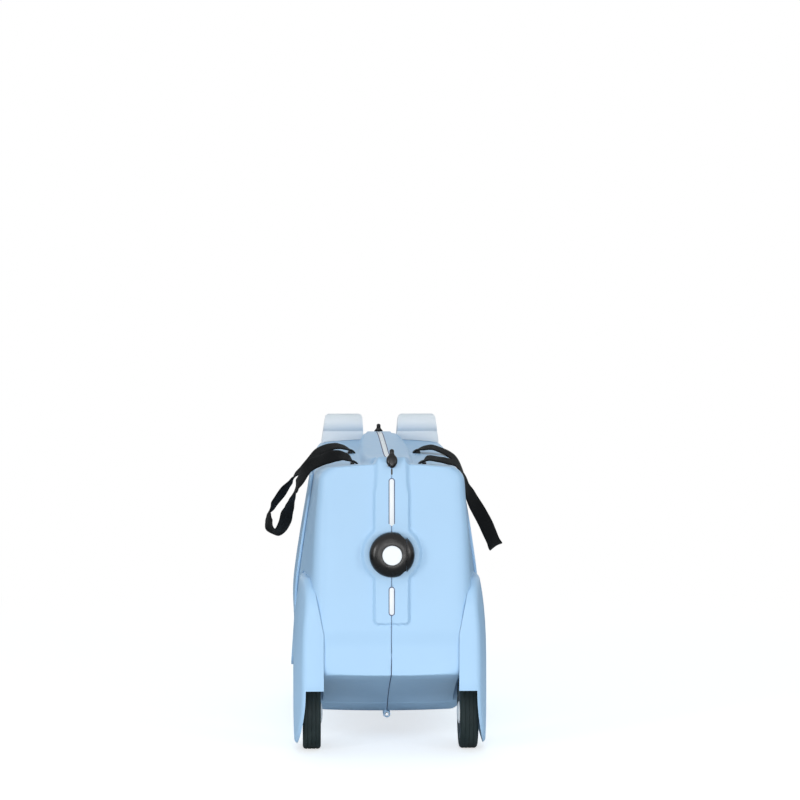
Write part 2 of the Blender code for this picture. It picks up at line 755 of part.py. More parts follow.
def cut_strip_grooves(case, shell):
    """Cut the grooves for the pale strips."""
    half = STRIP_WIDTH / 2 + FIT
    floor = STRIP_PROUD - STRIP_THICKNESS - FIT
    case.cut(shell, top_strip_mesh("top_groove", half, floor, OVERRUN, TOP_STRIP_MARGIN - FIT))
    for end in (REAR, FRONT):
        for low, high in strip_spans().values():
            outline = strip_outline(low - FIT, high + FIT, half)
            inner = end_y(end, -BAND_PROUD - floor)
            outer = end_y(end, -BAND_PROUD - OVERRUN)
            case.cut(shell, plate_mesh("strip_groove", outline, "Y", *sorted((inner, outer))))


def make_strips(case):
    """Make the pale strips that cover the seam. They sit on the left half."""
    half = STRIP_WIDTH / 2
    low = STRIP_PROUD - STRIP_THICKNESS
    mesh = top_strip_mesh("top_strip", half, low, STRIP_PROUD, TOP_STRIP_MARGIN)
    case.part("top_strip", mesh, case.white)
    for end in (REAR, FRONT):
        for place, (bottom, top) in strip_spans().items():
            name = f"{END_NAMES[end]}_{place}_strip"
            outline = strip_outline(bottom, top, half)
            faces = sorted((end_y(end, -BAND_PROUD - low), end_y(end, -BAND_PROUD - STRIP_PROUD)))
            case.part(name, plate_mesh(name, outline, "Y", *faces), case.white)


def latch_pivot(end):
    """Return y and z of a latch's pivot."""
    spine = spine_height(0 if end == REAR else BODY_LENGTH)
    return end_y(end, -BAND_PROUD - LATCH_PIVOT_PROUD), spine - LATCH_PIVOT_DROP


def add_hinge(case, shell, side):
    """Join this half's knuckles, which alternate with the other half's, and bore them."""
    pitch = PIN_LENGTH / KNUCKLE_COUNT
    first = 0 if side == LEFT else 1
    for index in range(first, KNUCKLE_COUNT, 2):
        start = -PIN_LENGTH / 2 + pitch * index + KNUCKLE_GAP / 2
        stop = start + pitch - KNUCKLE_GAP
        ends = (0, start, HINGE_HEIGHT), (0, stop, HINGE_HEIGHT)
        case.join(shell, rod_mesh("knuckle", *ends, KNUCKLE_RADIUS))
        corner = (side * FIT, start, HINGE_HEIGHT - KNUCKLE_RADIUS * 0.6)
        opposite = (side * KNUCKLE_RADIUS, stop, BELLY_HEIGHT + WALL / 2)
        case.join(shell, block_mesh("knuckle_foot", corner, opposite))
    ends = (0, -PIN_LENGTH / 2 - OVERRUN, HINGE_HEIGHT), (0, PIN_LENGTH / 2 + OVERRUN, HINGE_HEIGHT)
    case.cut(shell, rod_mesh("pin_bore", *ends, PIN_RADIUS + FIT))


def add_latch_lugs(case, shell):
    """Join the lug that carries each latch to the left half."""
    for end in (REAR, FRONT):
        y, z = latch_pivot(end)
        root = end_y(end, -BAND_PROUD + WALL / 2)
        outward = 90 if end == REAR else -90
        outline = arc((y, z), LUG_RADIUS, outward, outward + 180, 6)
        outline += [(root, z + end * LUG_RADIUS), (root, z - end * LUG_RADIUS)]
        case.join(shell, plate_mesh("latch_lug", outline, "X", -LUG_OUTER, -LUG_INNER))
        bore = LATCH_PIN_RADIUS + FIT
        case.cut(shell, rod_mesh("latch_bore", (-LUG_OUTER - OVERRUN / 4, y, z), (OVERRUN / 4, y, z), bore))


def housing_screw_place(side, end):
    """Return where a housing's screw goes through the body's flank."""
    return Vector((side * FLANK_HALF_WIDTH, end_y(end, HOUSING_RADIUS), HOUSING_SCREW_HEIGHT))


def grip_screw_place(side):
    """Return where a grip's screw goes through the top of the body."""
    depth = BODY_LENGTH - GRIP_DEPTH + GRIP_LENGTH / 2
    distance = (GRIP_INNER + GRIP_OUTER) / 2
    return Vector((side * distance, depth - BODY_LENGTH / 2, top_surface(depth, distance)))


def handle_pivot(side, depth):
    """Return the point over its slot about which an end of the webbing turns."""
    height = top_surface(depth, HANDLE_SEAT) + HANDLE_PIVOT_RISE
    return Vector((side * HANDLE_SEAT, depth - BODY_LENGTH / 2, height))


def make_shell(case, side):
    """Make one half of the body."""
    name = f"{SIDE_NAMES[side]}_shell"
    shell = case.part(name, half_body_mesh(name, side, 0), case.blue)
    case.join(shell, band_mesh("band", side, 0))
    case.join(shell, seat_mesh("seat", side, 0))
    for end in (REAR, FRONT):
        ends = (0, end_y(end, WALL), KNOB_HEIGHT), (0, end_y(end, -KNOB_BOSS_PROUD), KNOB_HEIGHT)
        case.join(shell, rod_mesh("knob_boss", *ends, KNOB_BOSS_RADIUS, KNOB_STEPS))
        case.combine(shell, wheel_well(case, side, end, 0), "DIFFERENCE")

    cavity = case.tool(half_body_mesh("cavity", side, WALL))
    case.join(cavity, band_mesh("band_cavity", side, WALL))
    case.join(cavity, seat_mesh("seat_cavity", side, WALL))
    for end in (REAR, FRONT):
        case.combine(cavity, wheel_well(case, side, end, WALL), "DIFFERENCE")
    case.combine(shell, cavity, "DIFFERENCE")

    seam = block_mesh("seam", (-side * BEYOND, -BEYOND, -BEYOND), (side * FIT / 2, BEYOND, BEYOND))
    case.cut(shell, seam)
    add_hinge(case, shell, side)
    cut_strip_grooves(case, shell)
    for end in (REAR, FRONT):
        place = housing_screw_place(side, end)
        across = Vector((side * OVERRUN * 2, 0, 0))
        case.cut(shell, rod_mesh("screw_hole", place - across, place + across, SCREW_RADIUS + FIT))
    place = grip_screw_place(side)
    up = Vector((0, 0, OVERRUN * 2))
    case.cut(shell, rod_mesh("screw_hole", place - up, place + up, SCREW_RADIUS + FIT))
    for depth in (HANDLE_NEAR_DEPTH, HANDLE_FAR_DEPTH):
        place = handle_pivot(side, depth)
        half = Vector((SLOT_WIDTH / 2, WEBBING_WIDTH / 2 + FIT, 4 * OVERRUN))
        case.cut(shell, block_mesh("webbing_slot", place - half, place + half))
    if side == LEFT:
        add_latch_lugs(case, shell)
        for end in (REAR, FRONT):
            inner = Vector((-KNOB_SCREW_OFFSET, end_y(end, WALL + OVERRUN * 2), KNOB_HEIGHT))
            outer = Vector((-KNOB_SCREW_OFFSET, end_y(end, -2 * OVERRUN), KNOB_HEIGHT))
            case.cut(shell, rod_mesh("screw_hole", inner, outer, SCREW_RADIUS + FIT))
    return shell


def make_hinge_pin(case):
    """Make the pin through all the knuckles."""
    ends = (0, -PIN_LENGTH / 2, HINGE_HEIGHT), (0, PIN_LENGTH / 2, HINGE_HEIGHT)
    case.part("hinge_pin", rod_mesh("hinge_pin", *ends, PIN_RADIUS), case.steel)


def make_screw(case, name, place, direction, length):
    """Make a screw from the underside of its head, along a direction."""
    profile = [
        (0, SCREW_HEAD_HEIGHT),
        (SCREW_HEAD_RADIUS * 0.6, SCREW_HEAD_HEIGHT),
        (SCREW_HEAD_RADIUS, SCREW_HEAD_HEIGHT * 0.4),
        (SCREW_HEAD_RADIUS, 0),
        (SCREW_RADIUS, 0),
        (SCREW_RADIUS, SCREW_RADIUS - length),
        (0, -length),
    ]
    turn = Vector(direction).to_track_quat("-Z", "Y").to_euler()
    return case.turned(name, profile, case.steel, place, turn, steps=SCREW_STEPS)


def wheel_turn(side):
    """Return the rotation that turns a piece's own +Z outwards."""
    return (0, side * math.pi / 2, 0)


def make_wheel(case, side, end, carrier):
    """Make a wheel's tyre, hub and cap, on an empty at its axle, and the bolt that holds it.

    Returns how far from the seam the spindle starts.
    """
    label = f"{END_NAMES[end]}_{SIDE_NAMES[side]}"
    y = end_y(end, WHEEL_DEPTH)
    middle = WHEEL_INNER_FACE + TYRE_WIDTH / 2
    place = Vector((side * middle, y, WHEEL_RADIUS))
    turn = wheel_turn(side)
    half = TYRE_WIDTH / 2
    tread = WHEEL_RADIUS
    profile = arc((tread - TYRE_ROUND, half - TYRE_ROUND), TYRE_ROUND, 90, 0, 2)
    profile += arc((tread - TYRE_ROUND, -half + TYRE_ROUND), TYRE_ROUND, 0, -90, 2)
    profile += [(RIM_RADIUS, -half), (RIM_RADIUS, half)]
    tyre = case.turned(f"{label}_tyre", profile, case.rubber, place, turn, closed=True)

    bore = SPINDLE_RADIUS + RUN
    inner_face = -half + 0.0006
    cap_seat = inner_face + CAP_BASE
    bolt_seat = cap_seat + RUN + BOLT_HEAD_HEIGHT + RUN
    rim = RIM_RADIUS - FIT
    drop = rim - HUB_RIM_WALL
    web_out = bolt_seat + HUB_WEB
    boss_out = half + HUB_BOSS_PROUD
    head = BOLT_HEAD_RADIUS + RUN
    profile = [
        (bore, boss_out), (HUB_BOSS_RADIUS, boss_out), (HUB_BOSS_RADIUS, web_out), (drop, web_out),
        (drop, half - 0.001), (rim, half - 0.001), (rim, inner_face), (CAP_RADIUS + FIT, inner_face),
        (CAP_RADIUS + FIT, cap_seat), (head, cap_seat), (head, bolt_seat), (bore, bolt_seat),
    ]
    hub = case.turned(f"{label}_hub", profile, case.hub_grey, place, turn, closed=True)

    edge = cap_seat - FIT - CAP_BASE
    profile = [(0, cap_seat - FIT), (CAP_RADIUS, cap_seat - FIT), (CAP_RADIUS, edge)]
    for step in range(1, 4):
        turn_up = math.radians(30 * step)
        profile.append((CAP_RADIUS * math.cos(turn_up) * 0.96, edge - CAP_DOME * math.sin(turn_up)))
    profile[-1] = (0, edge - CAP_DOME)
    cap = case.turned(f"{label}_cap", profile, case.white, place, turn)

    axle = case.axis(f"{label}_axle", place, carrier)
    case.carry(axle, tyre, hub, cap)

    top = bolt_seat - RUN
    profile = [
        (0, top - BOLT_HEAD_HEIGHT), (BOLT_HEAD_RADIUS, top - BOLT_HEAD_HEIGHT), (BOLT_HEAD_RADIUS, top),
        (BOLT_RADIUS, top), (BOLT_RADIUS, top + BOLT_LENGTH), (0, top + BOLT_LENGTH),
    ]
    case.turned(f"{label}_axle_bolt", profile[::-1], case.steel, place, turn, steps=SMALL_ROUND_STEPS)
    return middle + top


def make_housing(case, side, end, spindle_start):
    """Make a wheel housing: outer skin, short walls, spindle and a boss for its screw."""
    name = f"{END_NAMES[end]}_{SIDE_NAMES[side]}_housing"
    base = FLANK_HALF_WIDTH - 0.004
    mesh = domed_mesh(name, side, end, housing_outline, base, 0, HOUSING_EDGE_ROUND)
    housing = case.part(name, mesh, case.blue)

    case.cut(housing, domed_mesh("housing_cavity", side, end, cavity_outline, base - OVERRUN, HOUSING_WALL, 0))
    flank = [(side * x, z) for x, z in flank_outline(FIT)]
    ends = sorted((end_y(end, -0.02), end_y(end, 2 * HOUSING_RADIUS + 0.02)))
    case.cut(housing, plate_mesh("flank", flank, "Y", *ends))

    y = end_y(end, WHEEL_DEPTH)
    skin = housing_surface(WHEEL_DEPTH, WHEEL_RADIUS) - HOUSING_WALL / 2
    boss_start = WHEEL_INNER_FACE + TYRE_WIDTH + HUB_BOSS_PROUD + RUN
    centre = Vector((0, y, WHEEL_RADIUS))

    def across(distance):
        return centre + Vector((side * distance, 0, 0))

    case.join(housing, rod_mesh("axle_boss", across(boss_start), across(skin), HUB_BOSS_RADIUS + 0.001, 20))
    case.join(housing, rod_mesh("spindle", across(spindle_start + RUN), across(skin - 0.0005), SPINDLE_RADIUS, 20))
    pilot = spindle_start + BOLT_LENGTH + FIT
    case.cut(housing, rod_mesh("bolt_hole", across(spindle_start - OVERRUN), across(pilot), BOLT_RADIUS + FIT))

    place = housing_screw_place(side, end)
    skin = housing_surface(HOUSING_RADIUS, HOUSING_SCREW_HEIGHT) - HOUSING_WALL / 2
    start = place + Vector((side * FIT, 0, 0))
    stop = Vector((side * skin, place.y, place.z))
    case.join(housing, rod_mesh("screw_boss", start, stop, HOUSING_BOSS_RADIUS))
    deep = place + Vector((side * (HOUSING_SCREW_LENGTH - WALL + FIT), 0, 0))
    case.cut(housing, rod_mesh("screw_hole", place - Vector((side * OVERRUN, 0, 0)), deep, SCREW_RADIUS + FIT))
    head = place - Vector((side * (WALL + FIT), 0, 0))
    make_screw(case, f"{name}_screw", head, (side, 0, 0), HOUSING_SCREW_LENGTH)
    return housing


def knob_profile(recess):
    """Return the knob's turned profile: a domed head on a neck."""
    top = KNOB_PROJECTION
    flat = BADGE_RADIUS + FIT
    profile = [(0, top - recess)]
    if recess:
        profile.append((flat, top - recess))
    profile.append((flat, top))
    rim = KNOB_NECK_HEIGHT + KNOB_FLANGE
    for step in range(1, 4):
        turn = math.radians(90 * step / 3)
        profile.append((flat + 0.0008 + (KNOB_RADIUS - flat - 0.0008) * math.sin(turn), rim + (top - rim) * math.cos(turn)))
    profile += [
        (KNOB_RADIUS - 0.0008, KNOB_NECK_HEIGHT),
        (KNOB_NECK_RADIUS, KNOB_NECK_HEIGHT),
        (KNOB_NECK_RADIUS, FIT),
        (0, FIT),
    ]
    return profile


def make_knob(case, end):
    """Make a tow knob, its sprung gate, its badge and its screw, all on the left half."""
    label = END_NAMES[end]
    face = end_y(end, -KNOB_BOSS_PROUD)
    place = Vector((0, face, KNOB_HEIGHT))
    turn = (-end * math.pi / 2, 0, 0)

    def outward(height):
        return face + end * height

    def box(name, x_start, x_stop, z_start, z_stop, low, high):
        corner = (x_start, outward(low), KNOB_HEIGHT + z_start)
        opposite = (x_stop, outward(high), KNOB_HEIGHT + z_stop)
        return block_mesh(name, corner, opposite)

    knob = case.turned(f"{label}_knob", knob_profile(BADGE_RECESS), case.black, place, turn, steps=KNOB_STEPS)
    high = KNOB_PROJECTION + OVERRUN
    below = KNOB_NECK_HEIGHT - 0.0003
    past = KNOB_RADIUS + OVERRUN
    case.cut(knob, box("chord", KNOB_CHORD, past, -past, past, below, high))
    for sign in (-1, 1):
        start, stop = sorted((sign * NOTCH_REACH, sign * past))
        case.cut(knob, box("notch", KNOB_CHORD - NOTCH_LENGTH, past, start, stop, below, high))
    play = RUN
    case.cut(knob, box(
        "tongue_slot", TONGUE_INNER - play, past, -TONGUE_HALF_HEIGHT - play,
        TONGUE_HALF_HEIGHT + play, TONGUE_LOW - play, TONGUE_HIGH + play,
    ))
    inner = Vector((-KNOB_SCREW_OFFSET, outward(-OVERRUN), KNOB_HEIGHT))
    depth = KNOB_SCREW_LENGTH - WALL - KNOB_BOSS_PROUD + FIT
    outer = Vector((-KNOB_SCREW_OFFSET, outward(depth), KNOB_HEIGHT))
    case.cut(knob, rod_mesh("screw_hole", inner, outer, SCREW_RADIUS + FIT))

    gate = case.turned(f"{label}_gate", knob_profile(0), case.black, place, turn, steps=KNOB_STEPS)
    keep = box(
        "gate_shape", KNOB_CHORD + play, past, -past, past,
        KNOB_NECK_HEIGHT - OVERRUN, KNOB_PROJECTION + OVERRUN,
    )
    case.combine(gate, case.tool(keep), "INTERSECT")
    case.join(gate, box(
        "tongue", TONGUE_INNER, KNOB_CHORD + TONGUE_ROOT, -TONGUE_HALF_HEIGHT,
        TONGUE_HALF_HEIGHT, TONGUE_LOW, TONGUE_HIGH,
    ))
    slide = case.axis(f"{label}_gate_slide", place)
    case.carry(slide, gate)

    floor = KNOB_PROJECTION - BADGE_RECESS + FIT
    edge = 0.0004
    profile = [
        (0, floor + BADGE_THICKNESS), (BADGE_RADIUS - edge, floor + BADGE_THICKNESS),
        (BADGE_RADIUS, floor + BADGE_THICKNESS - edge), (BADGE_RADIUS, floor), (0, floor),
    ]
    case.turned(f"{label}_badge", profile, case.white, place, turn)
    head = Vector((-KNOB_SCREW_OFFSET, end_y(end, WALL + FIT), KNOB_HEIGHT))
    make_screw(case, f"{label}_knob_screw", head, (0, end, 0), KNOB_SCREW_LENGTH)


def make_latch(case, end):
    """Make a latch lever, which lies over the seam at the top of an end, and its pin."""
    label = END_NAMES[end]
    y, z = latch_pivot(end)
    inner = end_y(end, -BAND_PROUD - RUN)
    outer = inner + end * LATCH_THICKNESS
    top = z + LATCH_PIVOT_DROP + RUN
    nose_top = top + LATCH_NOSE_HEIGHT
    tip = z + LATCH_FRONT[-1][1]
    into = inner - end * LATCH_NOSE
    turn = 180 if end == REAR else 0
    outline = arc((y, z), LATCH_END_RADIUS, turn, turn - end * -180, 6)
    outline += [
        (inner, top), (into, top), (into, nose_top), (inner - end * 0.002, nose_top),
        (inner + end * 0.0005, tip), (inner + end * 0.0035, tip), (outer, z + 0.009), (outer, z + 0.004),
    ]
    lever_name = f"{label}_latch"
    lever = case.part(lever_name, plate_mesh(lever_name, outline, "X", -0.007, 0.007), case.black)
    front = [(half, z + rise) for half, rise in LATCH_FRONT]
    front += [(-half, z + rise) for half, rise in reversed(LATCH_FRONT)]
    faces = sorted((into - end * OVERRUN, outer + end * OVERRUN))
    case.combine(lever, case.tool(plate_mesh("latch_front", front, "Y", *faces)), "INTERSECT")
    slot_top = z + LUG_RADIUS + 3 * RUN
    corner = (-LUG_OUTER - RUN, inner - end * OVERRUN, z - 0.01)
    opposite = (-LUG_INNER + RUN, outer + end * OVERRUN, slot_top)
    case.cut(lever, block_mesh("lug_slot", corner, opposite))
    ends = (-0.01, y, z), (0.01, y, z)
    case.cut(lever, rod_mesh("latch_bore", *ends, LATCH_PIN_RADIUS + FIT))
    pivot = case.axis(f"{label}_latch_pivot", (0, y, z))
    case.carry(pivot, lever)
    ends = (-LATCH_PIN_LENGTH / 2, y, z), (LATCH_PIN_LENGTH / 2, y, z)
    case.part(f"{label}_latch_pin", rod_mesh("latch_pin", *ends, LATCH_PIN_RADIUS), case.steel)


def make_grip(case, side):
    """Make a hand grip: a foot on the body's top and a rolled upper edge over the rider's side."""
    name = f"{SIDE_NAMES[side]}_grip"
    rear = BODY_LENGTH - GRIP_DEPTH
    surface = top_surface(rear, (GRIP_INNER + GRIP_OUTER) / 2)
    top = surface + GRIP_TOP
    roll = (rear + GRIP_ROLL_RADIUS - GRIP_OVERHANG, top - GRIP_ROLL_RADIUS)
    front = rear + GRIP_LENGTH
    under = surface - 2 * OVERRUN
    outline = [(rear + GRIP_SETBACK, under), (rear + GRIP_SETBACK, surface + GRIP_WAIST)]
    outline += arc(roll, GRIP_ROLL_RADIUS, 255, 60, 9)
    outline += [(front - 0.012, top - 0.010), (front - 0.003, surface + 0.010), (front, surface), (front, under)]
    outline = [(depth - BODY_LENGTH / 2, z) for depth, z in outline]
    span = sorted((side * (GRIP_INNER - 0.002), side * (GRIP_OUTER + 0.002)))
    grip = case.part(name, plate_mesh(name, outline, "X", *span), case.pale)
    corner = GRIP_CORNER
    view = [(GRIP_OUTER, under), (GRIP_OUTER, surface)]
    view += arc((GRIP_TOP_OUTER - corner, top - corner), corner, 10, 90, 3)
    view += arc((GRIP_TOP_INNER + corner, top - corner), corner, 90, 175, 3)
    view += [(GRIP_INNER, surface), (GRIP_INNER, under)]
    view = [(side * x, z) for x, z in view]
    y_span = (rear - GRIP_LENGTH - BODY_LENGTH / 2, front + GRIP_LENGTH - BODY_LENGTH / 2)
    case.combine(grip, case.tool(plate_mesh("grip_view", view, "Y", *y_span)), "INTERSECT")
    case.cut(grip, half_body_mesh("grip_seat", side, -FIT))
    place = grip_screw_place(side)
    deep = place + Vector((0, 0, GRIP_SCREW_LENGTH - WALL + FIT))
    case.cut(grip, rod_mesh("screw_hole", place - Vector((0, 0, OVERRUN)), deep, SCREW_RADIUS + FIT))
    head = place - Vector((0, 0, WALL + CROWN / 4 + FIT))
    make_screw(case, f"{name}_screw", head, (0, 0, 1), GRIP_SCREW_LENGTH)


def flap_surface(depth, z):
    """Return the distance from the seam of a flap's inner face."""
    hang = min(max((FLAP_HANG - z) / (FLAP_HANG - FLAP_TIP), 0), 1)
    return half_width(depth, max(z, FLAP_HANG)) + FLAP_CLEARANCE + FLAP_KICK * hang


def make_flap(case, side):
    """Make a side flap, which lies on the body's side and hangs free at its tip."""
    name = f"{SIDE_NAMES[side]}_flap"
    rear_edge = [(share, rear) for share, rear, _ in FLAP_EDGES]
    front_edge = [(share, front) for share, _, front in FLAP_EDGES]
    rows, columns = FLAP_ROWS, FLAP_COLUMNS
    bm = bmesh.new()
    sheets = []
    for thickness in (0.0, FLAP_THICKNESS):
        sheet = []
        for row in range(rows + 1):
            share = row / rows
            z = FLAP_TIP + (FLAP_TOP - FLAP_TIP) * share
            rear, front = through(rear_edge, share), through(front_edge, share)
            line = []
            for column in range(columns + 1):
                depth = FLAP_MIDDLE + FLAP_WIDTH * (rear + (front - rear) * column / columns)
                x = side * (flap_surface(depth, z) + thickness)
                line.append(bm.verts.new((x, depth - BODY_LENGTH / 2, z)))
            sheet.append(line)
        sheets.append(sheet)
        for low, high in zip(sheet, sheet[1:]):
            for i in range(columns):
                bm.faces.new((low[i], low[i + 1], high[i + 1], high[i]))

    def rim(sheet):
        right = [row[-1] for row in sheet[1:-1]]
        left = [row[0] for row in reversed(sheet[1:-1])]
        return sheet[0] + right + sheet[-1][::-1] + left

    inner, outer = rim(sheets[0]), rim(sheets[1])
    for i in range(len(inner)):
        bm.faces.new((inner[i - 1], inner[i], outer[i], outer[i - 1]))
    case.part(name, to_mesh(bm, name), case.blue)


def spline_point(points, index, t):
    """Return a point of the smooth curve through points, between index and the next."""
    last = len(points) - 1
    before, start = points[max(index - 1, 0)], points[index]
    end, after = points[index + 1], points[min(index + 2, last)]
    lead = (end - before) / 2
    trail = (after - start) / 2
    return (
        (1 + 2 * t) * (1 - t) ** 2 * start + t * (1 - t) ** 2 * lead
        + t * t * (3 - 2 * t) * end + t * t * (t - 1) * trail
    )


def make_handle(case, side, route, carrier):
    """Make a carry handle, one length of webbing on an empty between its two pivots."""
    name = f"{SIDE_NAMES[side]}_carry_handle"
    near, far = handle_pivot(side, HANDLE_NEAR_DEPTH), handle_pivot(side, HANDLE_FAR_DEPTH)
    middles = [Vector((side * x, d - BODY_LENGTH / 2, SPINE_TOP - drop)) for x, d, drop, _, _ in route]
    centres = [near] + middles + [far]
    flat = Vector((0, WEBBING_WIDTH, 0))
    widths = [flat]
    for *_, out, up in route:
        forward = math.sqrt(WEBBING_WIDTH**2 - out**2 - up**2)
        widths.append(Vector((side * out, forward, up)))
    widths.append(flat)
    samples = []
    for index in range(len(centres) - 1):
        for step in range(WEBBING_STEPS):
            t = step / WEBBING_STEPS
            samples.append((spline_point(centres, index, t), widths[index].lerp(widths[index + 1], t)))
    samples.append((centres[-1], widths[-1]))
    rings = []
    for index, (centre, width) in enumerate(samples):
        ahead = samples[min(index + 1, len(samples) - 1)][0]
        behind = samples[max(index - 1, 0)][0]
        along = (ahead - behind).normalized()
        across = (width - along * width.dot(along)).normalized() * WEBBING_WIDTH / 2
        out = along.cross(across).normalized() * WEBBING_THICKNESS / 2
        rings.append([centre + across + out, centre - across + out, centre - across - out, centre + across - out])
    handle = case.part(name, loft_mesh(name, rings, split=True), case.webbing)
    lift = case.axis(f"{name}_lift", (near + far) / 2, carrier)
    case.carry(lift, handle)
    for label, depth in (("rear", HANDLE_NEAR_DEPTH), ("front", HANDLE_FAR_DEPTH)):
        make_anchor(case, f"{label}_{SIDE_NAMES[side]}_anchor", handle_pivot(side, depth), depth)


def make_anchor(case, name, pivot, depth):
    """Make the anchor of a webbing end: a plate under the top wall and a stub in the slot."""
    half_width_y = WEBBING_WIDTH / 2 - FIT
    stub_top = pivot.z - WEBBING_THICKNESS / 2 - RUN
    seat = top_surface(depth, abs(pivot.x) + ANCHOR_PLATE_WIDTH / 2) - WALL - CROWN / 3 - FIT
    stub_half = SLOT_WIDTH / 2 - FIT
    corner = Vector((pivot.x - stub_half, pivot.y - half_width_y, seat - ANCHOR_PLATE_THICKNESS / 2))
    opposite = Vector((pivot.x + stub_half, pivot.y + half_width_y, stub_top))
    anchor = case.part(name, block_mesh(name, corner, opposite), case.black)
    half = Vector((ANCHOR_PLATE_WIDTH / 2, half_width_y + ANCHOR_PLATE_MARGIN, ANCHOR_PLATE_THICKNESS / 2))
    middle = Vector((pivot.x, pivot.y, seat - ANCHOR_PLATE_THICKNESS / 2))
    case.join(anchor, block_mesh("anchor_plate", middle - half, middle + half))


def main():
    """Build the whole suitcase."""
    clear_scene()
    case = Suitcase()
    hinge = case.axis("case_hinge_axis", (0, 0, HINGE_HEIGHT))
    make_shell(case, LEFT)
    make_shell(case, RIGHT)
    make_hinge_pin(case)
    make_strips(case)
    for end in (REAR, FRONT):
        make_latch(case, end)
        make_knob(case, end)
        for side in (LEFT, RIGHT):
            carrier = hinge if side == RIGHT else None
            spindle_start = make_wheel(case, side, end, carrier)
            make_housing(case, side, end, spindle_start)
    for side, route in ((LEFT, LEFT_ROUTE), (RIGHT, RIGHT_ROUTE)):
        make_grip(case, side)
        make_flap(case, side)
        make_handle(case, side, route, hinge if side == RIGHT else None)
    fixed_right = [thing for thing in case.parts.objects if "right" in thing.name and not thing.parent]
    case.carry(hinge, *fixed_right)


main()
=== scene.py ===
"""Dressed model of a ride-on kids suitcase.

Two moulded halves, hinged under the belly, stand on four housed wheels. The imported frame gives
the small parts, and every visible form is made here again, finer, in the same place.

Metres. +Y is forward, +Z is up, the floor is z = 0 and the seam lies in the plane x = 0. A depth
is measured inwards from the face of the rear or the front end.
"""

import json
import logging
import math
from dataclasses import dataclass, field
from enum import Enum
from typing import Callable, Iterable, Optional, Sequence, Union

import bmesh
import bpy
import numpy as np
from mathutils import Matrix, Vector

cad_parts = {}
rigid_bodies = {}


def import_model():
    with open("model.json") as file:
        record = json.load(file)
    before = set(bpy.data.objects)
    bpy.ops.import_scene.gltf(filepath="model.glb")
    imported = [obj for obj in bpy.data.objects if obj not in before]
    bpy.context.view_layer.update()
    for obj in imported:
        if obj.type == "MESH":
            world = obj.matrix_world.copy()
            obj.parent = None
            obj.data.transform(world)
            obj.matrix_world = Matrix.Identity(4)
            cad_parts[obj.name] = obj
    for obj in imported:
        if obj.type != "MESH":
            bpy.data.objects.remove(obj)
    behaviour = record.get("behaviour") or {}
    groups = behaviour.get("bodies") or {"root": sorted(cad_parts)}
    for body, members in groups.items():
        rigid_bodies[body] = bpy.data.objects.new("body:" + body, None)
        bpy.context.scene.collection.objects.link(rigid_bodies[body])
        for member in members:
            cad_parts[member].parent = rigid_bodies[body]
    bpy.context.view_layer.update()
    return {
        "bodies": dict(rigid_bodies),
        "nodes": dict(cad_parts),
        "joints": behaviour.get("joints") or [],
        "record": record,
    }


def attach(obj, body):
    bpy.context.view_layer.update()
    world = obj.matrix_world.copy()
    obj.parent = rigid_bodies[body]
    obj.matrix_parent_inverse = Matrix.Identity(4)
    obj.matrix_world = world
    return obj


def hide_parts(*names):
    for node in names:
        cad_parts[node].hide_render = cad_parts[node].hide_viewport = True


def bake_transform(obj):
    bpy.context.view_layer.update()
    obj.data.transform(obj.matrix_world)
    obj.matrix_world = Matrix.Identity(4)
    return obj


log = logging.getLogger("suitcase")

Mesh = bpy.types.Mesh
Piece = bpy.types.Object
Socket = bpy.types.NodeSocket
Point2 = tuple[float, float]
Triple = tuple[float, float, float]
Keys = Sequence[Point2]

GAP = 0.0003  # between pieces that touch
OVERRUN = 0.004  # how far a cutter runs past what it cuts
SMOOTH = 35.0  # edges sharper than this many degrees stay hard
MERGE = 0.000001  # points closer than this are one
ON_AXIS = 0.000001  # a radius below this lies on the axis
WELD = 0.00003  # what a Boolean leaves closer than this is one point
CENTRE_Z = 0.200  # the height from which the band is measured outwards


class Way(Enum):
    """One of two directions along an axis, with its sign."""

    @property
    def label(self) -> str:
        """Return the name as the frame writes it."""
        return self.name.lower()


class Side(Way):
    """The two halves of the case, with the sign of x on that side."""

    LEFT = -1
    RIGHT = 1

    @property
    def half(self) -> str:
        """Return the body that this half of the case is in the frame."""
        return f"{self.label}_half"


class End(Way):
    """The two ends of the case, with the sign of y there."""

    REAR = -1
    FRONT = 1


def through(keys: Keys, place: float) -> float:
    """Read the smooth curve through keys.

    Args:
        keys: places and heights, in the order of the places.
        place: where to read the curve; outside the keys the nearest end counts.

    Returns:
        The height at the place.
    """
    place = min(max(place, keys[0][0]), keys[-1][0])
    index = next(i for i in range(len(keys) - 1) if place <= keys[i + 1][0])
    start, end = keys[index], keys[index + 1]
    run = end[0] - start[0]

    def slope(at: int) -> float:
        """Return the curve's slope at a key."""
        before, after = keys[max(at - 1, 0)], keys[min(at + 1, len(keys) - 1)]
        return (after[1] - before[1]) / (after[0] - before[0])

    t = (place - start[0]) / run
    from_start = (1 + 2 * t) * (1 - t) ** 2 * start[1] + t * (1 - t) ** 2 * run * slope(index)
    from_end = t * t * (3 - 2 * t) * end[1] + t * t * (t - 1) * run * slope(index + 1)
    return from_start + from_end


def ease(start: float, end: float, value: float) -> float:
    """Return a smooth step from 0 at start to 1 at end."""
    t = min(max((value - start) / (end - start), 0.0), 1.0)
    return t * t * (3 - 2 * t)


def arc(centre: Point2, radius: float, start: float, end: float, steps: int) -> list[Point2]:
    """Return points on an arc, its angles in degrees."""
    turns = [math.radians(start + (end - start) * step / steps) for step in range(steps + 1)]
    return [(centre[0] + radius * math.cos(a), centre[1] + radius * math.sin(a)) for a in turns]


